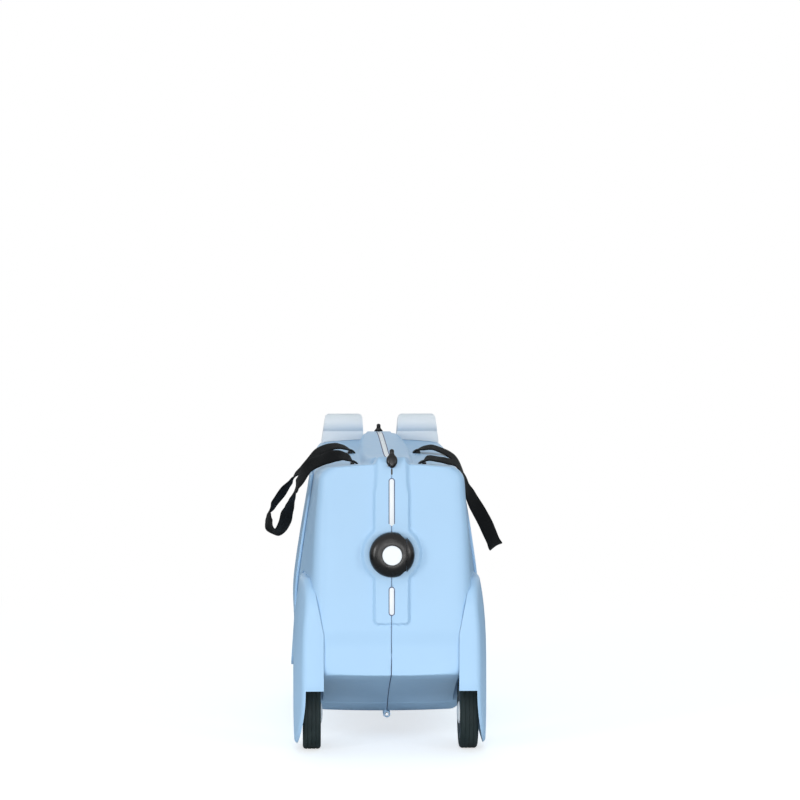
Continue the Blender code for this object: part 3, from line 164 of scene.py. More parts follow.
def finish_mesh(bm: bmesh.types.BMesh, name: str, smooth: float = SMOOTH) -> Mesh:
    """Turn a bmesh into a mesh.

    Args:
        bm: a closed skin; it is freed.
        name: the mesh's name.
        smooth: edges sharper than this many degrees stay hard.

    Returns:
        The mesh, with its faces pointing out.
    """
    bmesh.ops.remove_doubles(bm, verts=bm.verts, dist=MERGE)
    bmesh.ops.recalc_face_normals(bm, faces=bm.faces)
    if bm.calc_volume(signed=True) < 0:
        bmesh.ops.reverse_faces(bm, faces=bm.faces)
    mesh = bpy.data.meshes.new(name)
    bm.to_mesh(mesh)
    bm.free()
    mesh.shade_smooth()
    mesh.set_sharp_from_angle(angle=math.radians(smooth))
    return mesh


def loft(name: str, rings: Iterable[Sequence[Vector]], closed: bool = False,
         smooth: float = SMOOTH) -> Mesh:
    """Skin a row of rings.

    Args:
        name: the mesh's name.
        rings: rings of like length.
        closed: whether the last ring joins the first; if not, both ends are capped.
        smooth: the angle in degrees past which an edge stays hard.

    Returns:
        The closed mesh.
    """
    bm = bmesh.new()
    rows = [[bm.verts.new(point) for point in ring] for ring in rings]
    pairs = list(zip(rows, rows[1:]))
    if closed:
        pairs.append((rows[-1], rows[0]))
    for row, after in pairs:
        for i in range(len(row)):
            bm.faces.new((row[i - 1], row[i], after[i], after[i - 1]))
    if not closed:
        bm.faces.new(rows[0])
        bm.faces.new(rows[-1])
    return finish_mesh(bm, name, smooth)


def box_mesh(name: str, corner: Sequence[float], opposite: Sequence[float]) -> Mesh:
    """Return a box between two opposite corners.

    Args:
        name: the mesh's name.
        corner: one corner.
        opposite: the other.

    Returns:
        The closed mesh.
    """
    corner, opposite = Vector(corner), Vector(opposite)
    size = opposite - corner
    bm = bmesh.new()
    bmesh.ops.create_cube(bm, size=1)
    scale = Matrix.Diagonal((abs(size.x), abs(size.y), abs(size.z), 1))
    bm.transform(Matrix.Translation((corner + opposite) / 2) @ scale)
    return finish_mesh(bm, name)


def rod_mesh(name: str, start: Sequence[float], end: Sequence[float], radius: float,
             steps: int = 32) -> Mesh:
    """Return a cylinder between two points.

    Args:
        name: the mesh's name.
        start: the middle of one end.
        end: the middle of the other.
        radius: its radius.
        steps: the number of its sides.

    Returns:
        The closed mesh.
    """
    start, end = Vector(start), Vector(end)
    axis = end - start
    bm = bmesh.new()
    bmesh.ops.create_cone(bm, cap_ends=True, segments=steps, radius1=radius, radius2=radius,
                          depth=axis.length)
    turn = axis.to_track_quat("Z", "Y").to_matrix().to_4x4()
    bm.transform(Matrix.Translation((start + end) / 2) @ turn)
    return finish_mesh(bm, name)


def prism(name: str, outline: Sequence[Point2], axis: str, start: float, end: float) -> Mesh:
    """Extrude a flat outline.

    Args:
        name: the mesh's name.
        outline: points (y, z) where the axis is X, or (x, z) where it is Y.
        axis: "X" or "Y".
        start: where along the axis the solid starts.
        end: where it ends.

    Returns:
        The closed mesh.
    """
    if axis == "X":
        rings = [[Vector((at, y, z)) for y, z in outline] for at in (start, end)]
    else:
        rings = [[Vector((x, at, z)) for x, z in outline] for at in (start, end)]
    return loft(name, rings)


def lathe(name: str, profile: Sequence[Point2], matrix: Matrix, steps: int) -> Mesh:
    """Turn a closed profile about its own z axis.

    Args:
        name: the mesh's name.
        profile: points (radius, height) round the section; a radius of 0 lies on the axis.
        matrix: puts the turned body in its place.
        steps: the number of sections.

    Returns:
        The closed mesh.
    """
    bm = bmesh.new()
    rows = []
    for step in range(steps):
        turn = 2 * math.pi * step / steps
        rows.append([bm.verts.new((r * math.cos(turn), r * math.sin(turn), h)) for r, h in profile])
    count = len(profile)
    for index in range(steps):
        row, after = rows[index - 1], rows[index]
        for i in range(count):
            on_axis = profile[i - 1][0] < ON_AXIS and profile[i][0] < ON_AXIS
            if not on_axis:
                bm.faces.new((row[i - 1], row[i], after[i], after[i - 1]))
    bmesh.ops.remove_doubles(bm, verts=bm.verts, dist=2 * MERGE)
    bmesh.ops.dissolve_degenerate(bm, edges=bm.edges, dist=2 * MERGE)
    bm.transform(matrix)
    return finish_mesh(bm, name)


class Workshop:
    """Makes objects, joins and cuts them, and applies their modifiers."""

    def add(self, name: str, mesh: Mesh) -> Piece:
        """Put a mesh in the scene as an object."""
        thing = bpy.data.objects.new(name, mesh)
        bpy.context.scene.collection.objects.link(thing)
        return thing

    def boolean(self, target: Piece, mesh: Mesh, operation: str) -> None:
        """Add a Boolean to an object, with a tool that bake() removes.

        Args:
            target: the object.
            mesh: the tool's mesh.
            operation: UNION, DIFFERENCE or INTERSECT.
        """
        tool = self.add("tool_" + mesh.name, mesh)
        modifier = target.modifiers.new("Boolean", "BOOLEAN")
        modifier.operation = operation
        modifier.object = tool
        modifier.solver = "EXACT"

    def cut(self, target: Piece, mesh: Mesh) -> None:
        """Cut a mesh out of an object."""
        self.boolean(target, mesh, "DIFFERENCE")

    def join(self, target: Piece, mesh: Mesh) -> None:
        """Join a mesh to an object."""
        self.boolean(target, mesh, "UNION")

    def bevel(self, target: Piece, width: float, segments: int = 2, angle: float = 30.0) -> None:
        """Weld an object's stray doubles and round its hard edges.

        Args:
            target: the object.
            width: the rounding's width.
            segments: its steps.
            angle: edges sharper than this are rounded.
        """
        weld = target.modifiers.new("Weld", "WELD")
        weld.merge_threshold = WELD
        modifier = target.modifiers.new("Bevel", "BEVEL")
        modifier.width = width
        modifier.segments = segments
        modifier.limit_method = "ANGLE"
        modifier.angle_limit = math.radians(angle)
        modifier.harden_normals = False

    def bake(self, target: Piece, smooth: float = SMOOTH) -> Piece:
        """Apply an object's modifiers and remove their tools.

        Args:
            target: the object.
            smooth: edges sharper than this many degrees stay hard.

        Returns:
            The same object, with a plain mesh.
        """
        graph = bpy.context.evaluated_depsgraph_get()
        mesh = bpy.data.meshes.new_from_object(target.evaluated_get(graph))
        tools = [m.object for m in target.modifiers if m.type == "BOOLEAN"]
        target.modifiers.clear()
        old, target.data = target.data, mesh
        bpy.data.meshes.remove(old)
        for tool in tools:
            data = tool.data
            bpy.data.objects.remove(tool)
            bpy.data.meshes.remove(data)
        mesh.shade_smooth()
        mesh.set_sharp_from_angle(angle=math.radians(smooth))
        return target

    def take_mesh(self, target: Piece) -> Mesh:
        """Apply an object's modifiers, remove the object and return its mesh."""
        mesh = self.bake(target).data
        bpy.data.objects.remove(target)
        return mesh


@dataclass(frozen=True)
class Moulded:
    """A moulded plastic: its colour, gloss, fine grain and slow change of tone."""

    colour: Triple
    roughness: float
    grain: float = 0.00004
    grain_size: float = 0.0008
    tone: float = 0.04
    specular: float = 0.5
    scuffs: float = 0.0
    tone_size: float = 0.09
    broad: float = 9.0
    play: float = 0.05

    def material(self, name: str) -> bpy.types.Material:
        """Return the finish as a material.

        Args:
            name: the material's name.

        Returns:
            The material.
        """
        nodes = MaterialNodes(name)
        place = nodes.object_place()
        slow = nodes.noise(place, 1 / self.tone_size, 2.0, 0.5)
        fine = nodes.noise(place, 1 / self.grain_size, 2.0, 0.6)
        broad = nodes.noise(place, 1 / (self.grain_size * self.broad), 3.0, 0.55)
        height = nodes.mix_values(fine, broad, 0.35)
        rough = nodes.spread(broad, self.roughness - self.play, self.roughness + self.play)
        if self.scuffs:
            rough = nodes.math("ADD", rough, nodes.scratches(place, self.scuffs))
        nodes.link(nodes.tinted(linear_colour(self.colour), slow, self.tone), "Base Color")
        nodes.link(rough, "Roughness")
        nodes.link(nodes.bump(height, self.grain), "Normal")
        nodes.set("Specular IOR Level", self.specular)
        return nodes.material


@dataclass(frozen=True)
class Rubber:
    """Tyre rubber: dark, matte, a little dusty."""

    colour: Triple
    dust: Triple
    patch_size: float = 0.012
    grain: float = 0.00008
    grain_size: float = 0.0006
    roughness: Point2 = (0.55, 0.8)
    specular: float = 0.2

    def material(self, name: str) -> bpy.types.Material:
        """Return the finish as a material.

        Args:
            name: the material's name.

        Returns:
            The material.
        """
        nodes = MaterialNodes(name)
        place = nodes.object_place()
        patches = nodes.noise(place, 1 / self.patch_size, 4.0, 0.6)
        fine = nodes.noise(place, 1 / self.grain_size, 2.0, 0.6)
        dusty = nodes.ramp(patches, 0.35, 0.0, 0.95, 1.0)
        nodes.link(nodes.mix(linear_colour(self.colour), linear_colour(self.dust), dusty), "Base Color")
        nodes.link(nodes.spread(patches, *self.roughness), "Roughness")
        nodes.link(nodes.bump(fine, self.grain), "Normal")
        nodes.set("Specular IOR Level", self.specular)
        return nodes.material


@dataclass(frozen=True)
class Webbing:
    """Woven strap: ribs across a UV map whose u runs along the strap in metres."""

    colour: Triple
    lit: Triple
    pitch: float = 0.0016
    yarn: float = 0.8
    lean: float = 0.5
    fuzz_size: float = 0.0009
    relief: float = 0.0003
    roughness: Point2 = (0.75, 0.95)
    specular: float = 0.12
    sheen: float = 0.04

    def material(self, name: str) -> bpy.types.Material:
        """Return the finish as a material.

        Args:
            name: the material's name.

        Returns:
            The material.
        """
        nodes = MaterialNodes(name)
        along, across = nodes.uv_axes()
        ribs = nodes.wave(along, across, self.pitch, self.lean)
        yarns = nodes.wave(across, along, self.pitch * self.yarn, 0.0)
        weave = nodes.math("MULTIPLY", ribs, yarns)
        fuzz = nodes.noise(nodes.object_place(), 1 / self.fuzz_size, 2.0, 0.7)
        # painted highlight: the raised yarns take the lighter lit colour
        raised = nodes.ramp(weave, 0.3, 0.0, 1.0, 1.0)
        nodes.link(nodes.mix(linear_colour(self.colour), linear_colour(self.lit), raised), "Base Color")
        nodes.link(nodes.spread(fuzz, *self.roughness), "Roughness")
        nodes.link(nodes.bump(nodes.mix_values(weave, fuzz, 0.25), self.relief), "Normal")
        nodes.set("Specular IOR Level", self.specular)
        nodes.set("Sheen Weight", self.sheen)
        return nodes.material


@dataclass(frozen=True)
class Metal:
    """Plated steel with fine brushing."""

    colour: Triple
    roughness: Point2
    tone: float = 0.06
    grain: float = 0.00002
    grain_size: float = 0.0012

    def material(self, name: str) -> bpy.types.Material:
        """Return the finish as a material.

        Args:
            name: the material's name.

        Returns:
            The material.
        """
        nodes = MaterialNodes(name)
        fine = nodes.noise(nodes.object_place(), 1 / self.grain_size, 3.0, 0.6)
        nodes.link(nodes.tinted(linear_colour(self.colour), fine, self.tone), "Base Color")
        nodes.link(nodes.spread(fine, *self.roughness), "Roughness")
        nodes.link(nodes.bump(fine, self.grain), "Normal")
        nodes.set("Metallic", 1.0)
        return nodes.material


def linear_colour(colour: Sequence[float]) -> tuple[float, float, float, float]:
    """Turn an sRGB colour of 0 to 255 into linear values with an alpha of 1."""
    values = [channel / 255 for channel in colour]
    linear = [v / 12.92 if v <= 0.04045 else ((v + 0.055) / 1.055) ** 2.4 for v in values]
    return linear[0], linear[1], linear[2], 1.0


class NodeTree:
    """Adds and links the nodes of a tree."""

    def __init__(self, tree: bpy.types.NodeTree) -> None:
        """Start on a tree."""
        self.tree = tree

    def node(self, kind: str, **settings: object) -> bpy.types.Node:
        """Add a node and set its properties.

        Args:
            kind: the node's type.
            settings: its properties.

        Returns:
            The node.
        """
        node = self.tree.nodes.new(kind)
        for key, value in settings.items():
            setattr(node, key, value)
        return node

    def join(self, source: Socket, target: Socket) -> None:
        """Link two sockets."""
        self.tree.links.new(source, target)

    def math(self, operation: str, first: Socket, second: Union[Socket, float]) -> Socket:
        """Add a Math node.

        Args:
            operation: Blender's name for it.
            first: a socket.
            second: a socket or a number.

        Returns:
            The result.
        """
        node = self.node("ShaderNodeMath", operation=operation)
        self.join(first, node.inputs[0])
        if isinstance(second, (int, float)):
            node.inputs[1].default_value = second
        else:
            self.join(second, node.inputs[1])
        return node.outputs[0]

    def ramp(self, value: Socket, low: float, low_out: float, high: float, high_out: float,
             curve: str = "LINEAR") -> Socket:
        """Return a value mapped from one range to another, and held at its ends.

        Args:
            value: what to map.
            low: the start of its range.
            low_out: what the start becomes.
            high: the end of its range.
            high_out: what the end becomes.
            curve: how the mapping runs between them.

        Returns:
            The mapped value.
        """
        node = self.node("ShaderNodeMapRange", interpolation_type=curve)
        ends = {"From Min": low, "From Max": high, "To Min": low_out, "To Max": high_out}
        for name, number in ends.items():
            node.inputs[name].default_value = number
        self.join(value, node.inputs["Value"])
        return node.outputs["Result"]

    def mix(self, first: Sequence[float], second: Sequence[float], share: Socket) -> Socket:
        """Mix two colours.

        Args:
            first: the colour where the share is 0.
            second: the colour where it is 1.
            share: what decides.

        Returns:
            The mixed colour.
        """
        mix = self.node("ShaderNodeMix", data_type="RGBA")
        mix.inputs[6].default_value = first
        mix.inputs[7].default_value = second
        self.join(share, mix.inputs[0])
        return mix.outputs[2]


class MaterialNodes(NodeTree):
    """Builds the node tree of one Principled material."""

    MIDDLE = (0.3, 0.7)  # the range in which most of a noise lies
    SCRATCH_SCALE = (300, 25, 60)
    SCRATCH_TURN = (0.4, 0.3, 0.9)
    SCRATCH_EDGE = (0.64, 0.72)

    def __init__(self, name: str) -> None:
        """Start a material of a name."""
        self.material = bpy.data.materials.new(name)
        self.material.use_nodes = True
        super().__init__(self.material.node_tree)
        self.shader = self.tree.nodes["Principled BSDF"]

    def link(self, source: Socket, name: str) -> None:
        """Link a socket to the shader."""
        self.join(source, self.shader.inputs[name])

    def set(self, name: str, value: object) -> None:
        """Set a value on the shader itself."""
        self.shader.inputs[name].default_value = value

    def object_place(self) -> Socket:
        """Return the place on the piece, in metres."""
        return self.node("ShaderNodeTexCoord").outputs["Object"]

    def uv_axes(self) -> tuple[Socket, Socket]:
        """Return the two axes of the piece's own UV map."""
        parts = self.node("ShaderNodeSeparateXYZ")
        self.join(self.node("ShaderNodeUVMap", uv_map=WEAVE).outputs["UV"], parts.inputs[0])
        return parts.outputs["X"], parts.outputs["Y"]

    def noise(self, place: Socket, scale: float, detail: float, rough: float) -> Socket:
        """Add a noise.

        Args:
            place: where to read it.
            scale: its waves in a metre.
            detail: how many finer waves it has.
            rough: how strong they are.

        Returns:
            A value of 0 to 1.
        """
        node = self.node("ShaderNodeTexNoise")
        for name, value in (("Scale", scale), ("Detail", detail), ("Roughness", rough)):
            node.inputs[name].default_value = value
        self.join(place, node.inputs["Vector"])
        return node.outputs["Fac"]

    def scratches(self, place: Socket, amount: float) -> Socket:
        """Make thin marks from a stretched noise.

        Args:
            place: where to read them.
            amount: their height.

        Returns:
            0, and the amount on a mark.
        """
        mapping = self.node("ShaderNodeMapping")
        mapping.inputs["Scale"].default_value = self.SCRATCH_SCALE
        mapping.inputs["Rotation"].default_value = self.SCRATCH_TURN
        self.join(place, mapping.inputs["Vector"])
        noise = self.noise(mapping.outputs["Vector"], 1.0, 3.0, 0.6)
        return self.ramp(noise, self.SCRATCH_EDGE[0], 0.0, self.SCRATCH_EDGE[1], amount)

    def spread(self, value: Socket, low: float, high: float) -> Socket:
        """Return a noise spread between two values."""
        return self.ramp(value, self.MIDDLE[0], low, self.MIDDLE[1], high)

    def mix_values(self, first: Socket, second: Socket, share: float) -> Socket:
        """Return a mix of two values."""
        kept = self.math("MULTIPLY", first, 1 - share)
        return self.math("ADD", kept, self.math("MULTIPLY", second, share))

    def wave(self, along: Socket, across: Socket, pitch: float, lean: float) -> Socket:
        """Return ribs of 0 to 1 across an axis.

        Args:
            along: the axis that the ribs follow one another on, in metres.
            across: the other axis.
            pitch: the distance between ribs.
            lean: how far the ribs slant.

        Returns:
            The ribs' height.
        """
        slanted = self.math("ADD", along, self.math("MULTIPLY", across, lean))
        turned = self.math("SINE", self.math("MULTIPLY", slanted, 2 * math.pi / pitch), 0.0)
        return self.ramp(turned, -1.0, 0.0, 1.0, 1.0)

    def tinted(self, colour: Sequence[float], value: Socket, amount: float) -> Socket:
        """Return a colour that grows a little lighter and darker with a noise."""
        dark = [c * (1 - amount) for c in colour[:3]] + [1.0]
        light = [min(1.0, c * (1 + amount)) for c in colour[:3]] + [1.0]
        return self.mix(dark, light, self.spread(value, 0.0, 1.0))

    def bump(self, height: Socket, depth: float) -> Socket:
        """Turn a height into a normal.

        Args:
            height: a height of 0 to 1.
            depth: what 1 stands for, in metres.

        Returns:
            The normal.
        """
        node = self.node("ShaderNodeBump")
        node.inputs["Strength"].default_value = 1.0
        node.inputs["Distance"].default_value = depth
        self.join(height, node.inputs["Height"])
        return node.outputs["Normal"]


class Finish(Enum):
    """The finishes of the case; but for the painted groove shade, each is the record's material slot too."""

    BODY = "body_blue"
    GRIP = "grip_pale"
    WHITE = "white_plastic"
    GLOSS = "black_plastic"
    TYRE = "tyre"
    HUB = "hub"
    WEBBING = "webbing"
    STEEL = "steel"
    GROOVE = "groove"


WEAVE = "Weave"
RECIPES = {
    Finish.BODY: Moulded((179, 211, 239), 0.4, tone=0.012, specular=0.2),
    Finish.GRIP: Moulded((243, 243, 244), 0.4, tone=0.01, specular=0.3),
    Finish.WHITE: Moulded((240, 241, 242), 0.32, grain=0.00002, tone=0.012),
    Finish.GLOSS: Moulded((12, 11, 11), 0.3, grain=0.00002, tone=0.1, scuffs=0.1, specular=0.36),
    Finish.TYRE: Rubber((34, 44, 44), (48, 57, 57)),
    Finish.HUB: Moulded((66, 71, 74), 0.5, tone=0.05),
    Finish.WEBBING: Webbing((9, 10, 11), (30, 31, 32)),
    Finish.STEEL: Metal((196, 198, 202), (0.24, 0.38)),
    # painted shade: a dark blue for the shade in the strips' grooves and along the seam
    Finish.GROOVE: Moulded((74, 76, 112), 0.6, tone=0.02, specular=0.2),
}


class Finishes:
    """Makes each finish once and puts it on pieces."""

    def __init__(self) -> None:
        """Build the materials."""
        self.made = {finish: recipe.material(finish.value) for finish, recipe in RECIPES.items()}

    def dress(self, piece: Piece, finish: Finish) -> None:
        """Give a new piece its material."""
        piece.data.materials.clear()
        piece.data.materials.append(self.made[finish])

    def dress_node(self, node: Piece, finish: Finish) -> None:
        """Give a frame node a material through its own slots.

        Args:
            node: the frame's node.
            finish: its finish.
        """
        if not node.material_slots:
            node.data.materials.append(self.made[finish])
        for slot in node.material_slots:
            slot.material = self.made[finish]


@dataclass
class Kit(Workshop):
    """The workshop with the frame and the finishes, which every sub-assembly works with."""

    frame: dict
    finishes: Finishes

    def keep(self, piece: Piece, body: str, finish: Finish, *nodes: str) -> None:
        """Finish a piece: its material, slot, body and the nodes it stands for.

        Args:
            piece: the piece, with a plain mesh.
            body: the frame's body that it rides on.
            finish: its finish.
            nodes: the frame's nodes that it replaces.
        """
        self.finishes.dress(piece, finish)
        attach(piece, body)
        if nodes:
            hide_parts(*nodes)
        log.info("%s: %d faces on %s", piece.name, len(piece.data.polygons), body)

    def make(self, name: str, mesh: Mesh, body: str, finish: Finish, *nodes: str) -> None:
        """Add a mesh as a finished piece."""
        self.keep(self.add(name, mesh), body, finish, *nodes)


@dataclass(frozen=True)
class Grid:
    """How finely the body is divided: a cross section's parts, and the row of sections."""

    top: tuple[float, ...]
    corner: int
    side: int
    foot: int
    belly: tuple[float, ...]
    edge: int
    tail: int
    parting: tuple[float, ...]
    along: int


FINE = Grid(
    top=tuple(step / 60 for step in range(61)), corner=12, side=90, foot=8,
    belly=(0.9, 0.75, 0.6, 0.45, 0.3, 0.15, 0.06), edge=16, tail=22,
    parting=(-0.0016, -0.0006, 0.0, 0.0006, 0.0016), along=22,
)
PLAIN = Grid(
    top=(0.25, 0.5, 0.75), corner=5, side=12, foot=0, belly=(0.5,), edge=4, tail=6, parting=(), along=5,
)
CAP_SHARES = tuple(1 - step / 60 for step in range(1, 61))
FOOT_PITCH, FOOT_SHIFT = 0.001, 0.00037  # extra rows where the band ends
# the painted seam shadow's span across the seam plane
SEAM_SHADE_SPAN = (-0.0008, -0.0002)


@dataclass
class BodyForm:
    """The case's outside as numbers: sections, spine, belly, band, seat and knob bosses."""

    length: float = 0.500
    spine_top: float = 0.329
    belly: float = 0.0264
    end_half_width: float = 0.082
    side_bulge: float = 0.0215
    plan_fullness: float = 0.6
    spine_rise: float = 0.007
    crown: float = 0.003
    belly_crown: float = 0.0015
    wall: float = 0.0024
    upper_corner: float = 0.0175
    lower_corner: float = 0.014
    side_round: float = 0.018
    top_round: float = 0.0016
    edge_power: float = 0.68
    seam_groove: float = 0.0009
    seal_proud: float = 0.0003
    seal_width: float = 0.0028
    tail_length: float = 0.165
    tail_rise: float = 0.0626
    seat_dip: float = 0.0085
    end_taper: float = 0.0045
    apron_top: float = 0.141
    apron_drop: float = 0.0016
    band_half_width: float = 0.020
    band_proud: float = 0.004
    band_corner: float = 0.007
    band_foot: float = 0.146
    band_foot_corner: float = 0.006
    seat_half_width: float = 0.031
    seat_start: float = 0.055
    seat_end: float = 0.445
    seat_fullness: float = 0.4
    knob_height: float = 0.2235
    boss_radius: float = 0.032
    boss_proud: float = 0.0048
    seat_line: Keys = ((0.0, 0.0), (0.2, -0.765), (0.36, -1.0), (0.6, -0.41), (0.84, 0.12), (1.0, 0.12))
    tail_line: Keys = ((0.0, 1.0), (0.3, 0.77), (0.66, 0.41), (0.88, 0.1), (1.0, 0.0))
    bulge_line: Keys = (
        (0.0, -0.1), (0.12, 0.46), (0.25, 0.86), (0.38, 1.0), (0.46, 1.0), (0.55, 0.86),
        (0.65, 0.65), (0.77, 0.4), (0.89, 0.22), (1.0, 0.2),
    )
    taper_line: Keys = ((0.0, 0.0), (0.7, 0.0), (0.89, 0.55), (1.0, 1.0))
    parting: float = 0.130
    parting_reach: float = 0.0003
    parting_press: float = 0.0007
    apron_run: float = 0.02
    top_span: Point2 = (0.285, 0.305)
    band_slope: float = 0.0028
    seat_slope: float = 0.0034
    band_edge: float = 0.0004
    boss_slope: Point2 = (0.0022, 0.0016)
    cap_pull: float = 0.2
    seam_loop: list[Point2] = field(default_factory=list)

    def spine(self, depth: float) -> float:
        """Return the top of the band at a depth."""
        return self.spine_top + self.seat_dip * through(self.seat_line, depth / self.length)

    def shoulder(self, depth: float) -> float:
        """Return the top of the body beside the band."""
        return self.spine(depth) - self.spine_rise

    def underside(self, depth: float) -> float:
        """Return the underside along the seam."""
        from_end = min(depth, self.length - depth)
        return self.belly + self.tail_rise * through(self.tail_line, from_end / self.tail_length)

    def half_width(self, depth: float, z: float) -> float:
        """Return the half width at a depth and a height.

        Args:
            depth: how far from the rear face.
            z: the height.

        Returns:
            The distance from the seam.
        """
        share = (z - self.belly) / (self.spine_top - self.belly)
        along = min(max(depth / self.length, 0), 1)
        plan = math.sin(math.pi * along) ** self.plan_fullness
        at_end = self.end_half_width - self.end_taper * through(self.taper_line, share)
        return at_end + self.side_bulge * through(self.bulge_line, share) * plan

    def top(self, depth: float, distance: float) -> float:
        """Return the height of the top at a distance from the seam."""
        flat_end = self.end_half_width - self.upper_corner
        return self.shoulder(depth) - self.crown * (distance / flat_end) ** 2

    def y(self, end: End, depth: float) -> float:
        """Return y at a depth from an end."""
        return end.value * (self.length / 2 - depth)

    def section(self, depth: float, inset: float, side_cut: float, top_cut: float,
                grid: Grid) -> list[Point2]:
        """Return half of a cross section.

        Args:
            depth: where along the case, from the rear.
            inset: how far inside the outer skin it lies.
            side_cut: how much narrower it is, in an end's rounded edge.
            top_cut: how much lower it is there.
            grid: how finely to divide it.

        Returns:
            Points (x, z) from the seam at the top to the seam at the bottom.
        """
        top = self.shoulder(depth) - inset
        bottom = self.underside(depth) + inset
        upper, lower = self.upper_corner - inset, self.lower_corner - inset
        corner = self.half_width(depth, top - upper) - inset - upper
        upper_end = top - self.crown - upper
        points = [(corner * m, top - self.crown * m**2) for m in grid.top]
        points += arc((corner, upper_end), upper, 90, 0, grid.corner)
        lower_end = bottom + self.belly_crown + lower
        heights = [upper_end + (lower_end - upper_end) * step / grid.side for step in range(1, grid.side)]
        heights += [self.band_foot + FOOT_PITCH * step + FOOT_SHIFT for step in range(-grid.foot, grid.foot)]
        heights.sort(reverse=True)
        points += [(self.half_width(depth, z) - inset, z) for z in heights]
        corner = self.half_width(depth, lower_end) - inset - lower
        points += arc((corner, lower_end), lower, 0, -90, grid.corner)
        points += [(corner * m, bottom + self.belly_crown * m**2) for m in grid.belly]
        points.append((0.0, bottom))
        widest = max(x for x, _ in points)
        middle = (top + bottom) / 2
        x_share = 1 - side_cut / widest
        z_share = 1 - top_cut / (top - middle)
        return [(x * x_share, middle + (z - middle) * z_share) for x, z in points]

    def half_ring(self, side: Side, depth: float, inset: float, side_cut: float = 0.0,
                  top_cut: float = 0.0) -> list[Vector]:
        """Return a plain cross section of one half, a little past the seam."""
        points = self.section(depth, inset, side_cut, top_cut, PLAIN)
        points = [(-OVERRUN, points[0][1])] + points[:-1] + [(-OVERRUN, points[-1][1])]
        return [Vector((side.value * x, depth - self.length / 2, z)) for x, z in points]

    def stations(self, inset: float, grid: Grid) -> list[Triple]:
        """Lay out the sections from the rear face to the front face.

        Args:
            inset: how far inside the outer skin it lies.
            grid: how finely to divide it.

        Returns:
            (depth, side cut, top cut) of each.
        """
        edge = []
        for step in range(grid.edge):
            turn = math.pi / 2 * step / grid.edge
            depth = inset + (self.side_round - inset) * (1 - math.cos(turn) ** self.edge_power)
            share = 1 - math.sin(turn) ** self.edge_power
            top_cut = max(self.top_round - inset, 0.0) * share
            edge.append((depth, (self.side_round - inset) * share, top_cut))
        run = self.tail_length - self.side_round
        tail = [self.side_round + run * step / grid.tail for step in range(grid.tail)]
        tail = sorted(tail + [self.parting + rise for rise in grid.parting])
        belly = self.length - 2 * self.tail_length
        middle = [self.tail_length + belly * step / grid.along for step in range(grid.along + 1)]
        depths = tail + middle + [self.length - depth for depth in reversed(tail)]
        far = [(self.length - depth, side, top) for depth, side, top in reversed(edge)]
        return edge + [(depth, 0.0, 0.0) for depth in depths] + far

    def seal_mesh(self) -> Mesh:
        """Return a thin dark ring of painted seam shadow in the left half's rim, as a closed ring of
        four-cornered section.
        """
        low, high = SEAM_SHADE_SPAN
        rings = []
        for y, z in self.seam_loop:
            inward = Vector((0, y, z - CENTRE_Z)).normalized()
            outer = Vector((0, y, z)) + inward * self.seal_proud
            inner = outer - inward * self.seal_width
            corners = ((outer, low), (outer, high), (inner, high), (inner, low))
            rings.append([point + Vector((x, 0, 0)) for point, x in corners])
        return loft("seal", rings, closed=True)

    def band_reach(self) -> Callable[[float], float]:
        """Return a function that gives the band outline's distance from the case's centre at an angle."""
        reach, corner, foot = self.length / 2 + self.band_proud, self.band_corner, 0.02
        near, far = self.spine(0), self.spine(self.length)
        points = [(-reach, z) for z in np.linspace(foot, near - corner, 40)]
        points += arc((-reach + corner, near - corner), corner, 180, 90, 12)
        for depth in np.linspace(corner, self.length - corner, 80):
            points.append((depth - self.length / 2, self.spine(depth)))
        points += arc((reach - corner, far - corner), corner, 90, 0, 12)
        points += [(reach, z) for z in np.linspace(far - corner, foot, 40)]
        pairs = sorted((math.atan2(-y, z - CENTRE_Z), math.hypot(y, z - CENTRE_Z)) for y, z in points)
        angles, radii = zip(*pairs)

        def at(angle: float) -> float:
            """Return the outline's distance at an angle."""
            return float(np.interp(angle, angles, radii))

        return at

    def raised(self, x: float, y: float, z: float, reach: Callable[[float], float]) -> Vector:
        """Return a point of the skin raised for the band, the seat and the knob's boss.

        Args:
            x: the point's distance from the seam.
            y: the point's y.
            z: the point's height.
            reach: what band_reach() gives.

        Returns:
            The raised point.
        """
        middle = self.length / 2
        on_top = ease(*self.top_span, z)
        run = min(max((y + middle - self.seat_start) / (self.seat_end - self.seat_start), 0.0), 1.0)
        widen = math.sin(math.pi * run) ** self.seat_fullness if 0 < run < 1 else 0.0
        half = self.band_half_width + (self.seat_half_width - self.band_half_width) * widen * on_top
        corner = self.band_foot_corner
        across = max(x - half + corner, 0.0)
        down = max(self.band_foot + corner - z, 0.0)
        inside = math.hypot(across, down) - corner
        if across == 0.0 and down == 0.0:
            inside = max(x - half, self.band_foot - z)
        share = 1 - ease(-self.band_slope - self.seat_slope * on_top, self.band_edge, inside)
        if share > 0 and z > self.band_foot - 0.01:
            radius = math.hypot(y, z - CENTRE_Z)
            scale = 1 + share * (reach(math.atan2(-y, z - CENTRE_Z)) / radius - 1)
            y, z = y * scale, CENTRE_Z + (z - CENTRE_Z) * scale
        start, stop = self.boss_radius - self.boss_slope[0], self.boss_radius + self.boss_slope[1]
        boss = 1 - ease(start, stop, math.hypot(x, z - self.knob_height))
        if boss > 0 and abs(y) > middle - 0.003:
            y += (math.copysign(middle + self.boss_proud, y) - y) * boss
        return Vector((x, y, z))

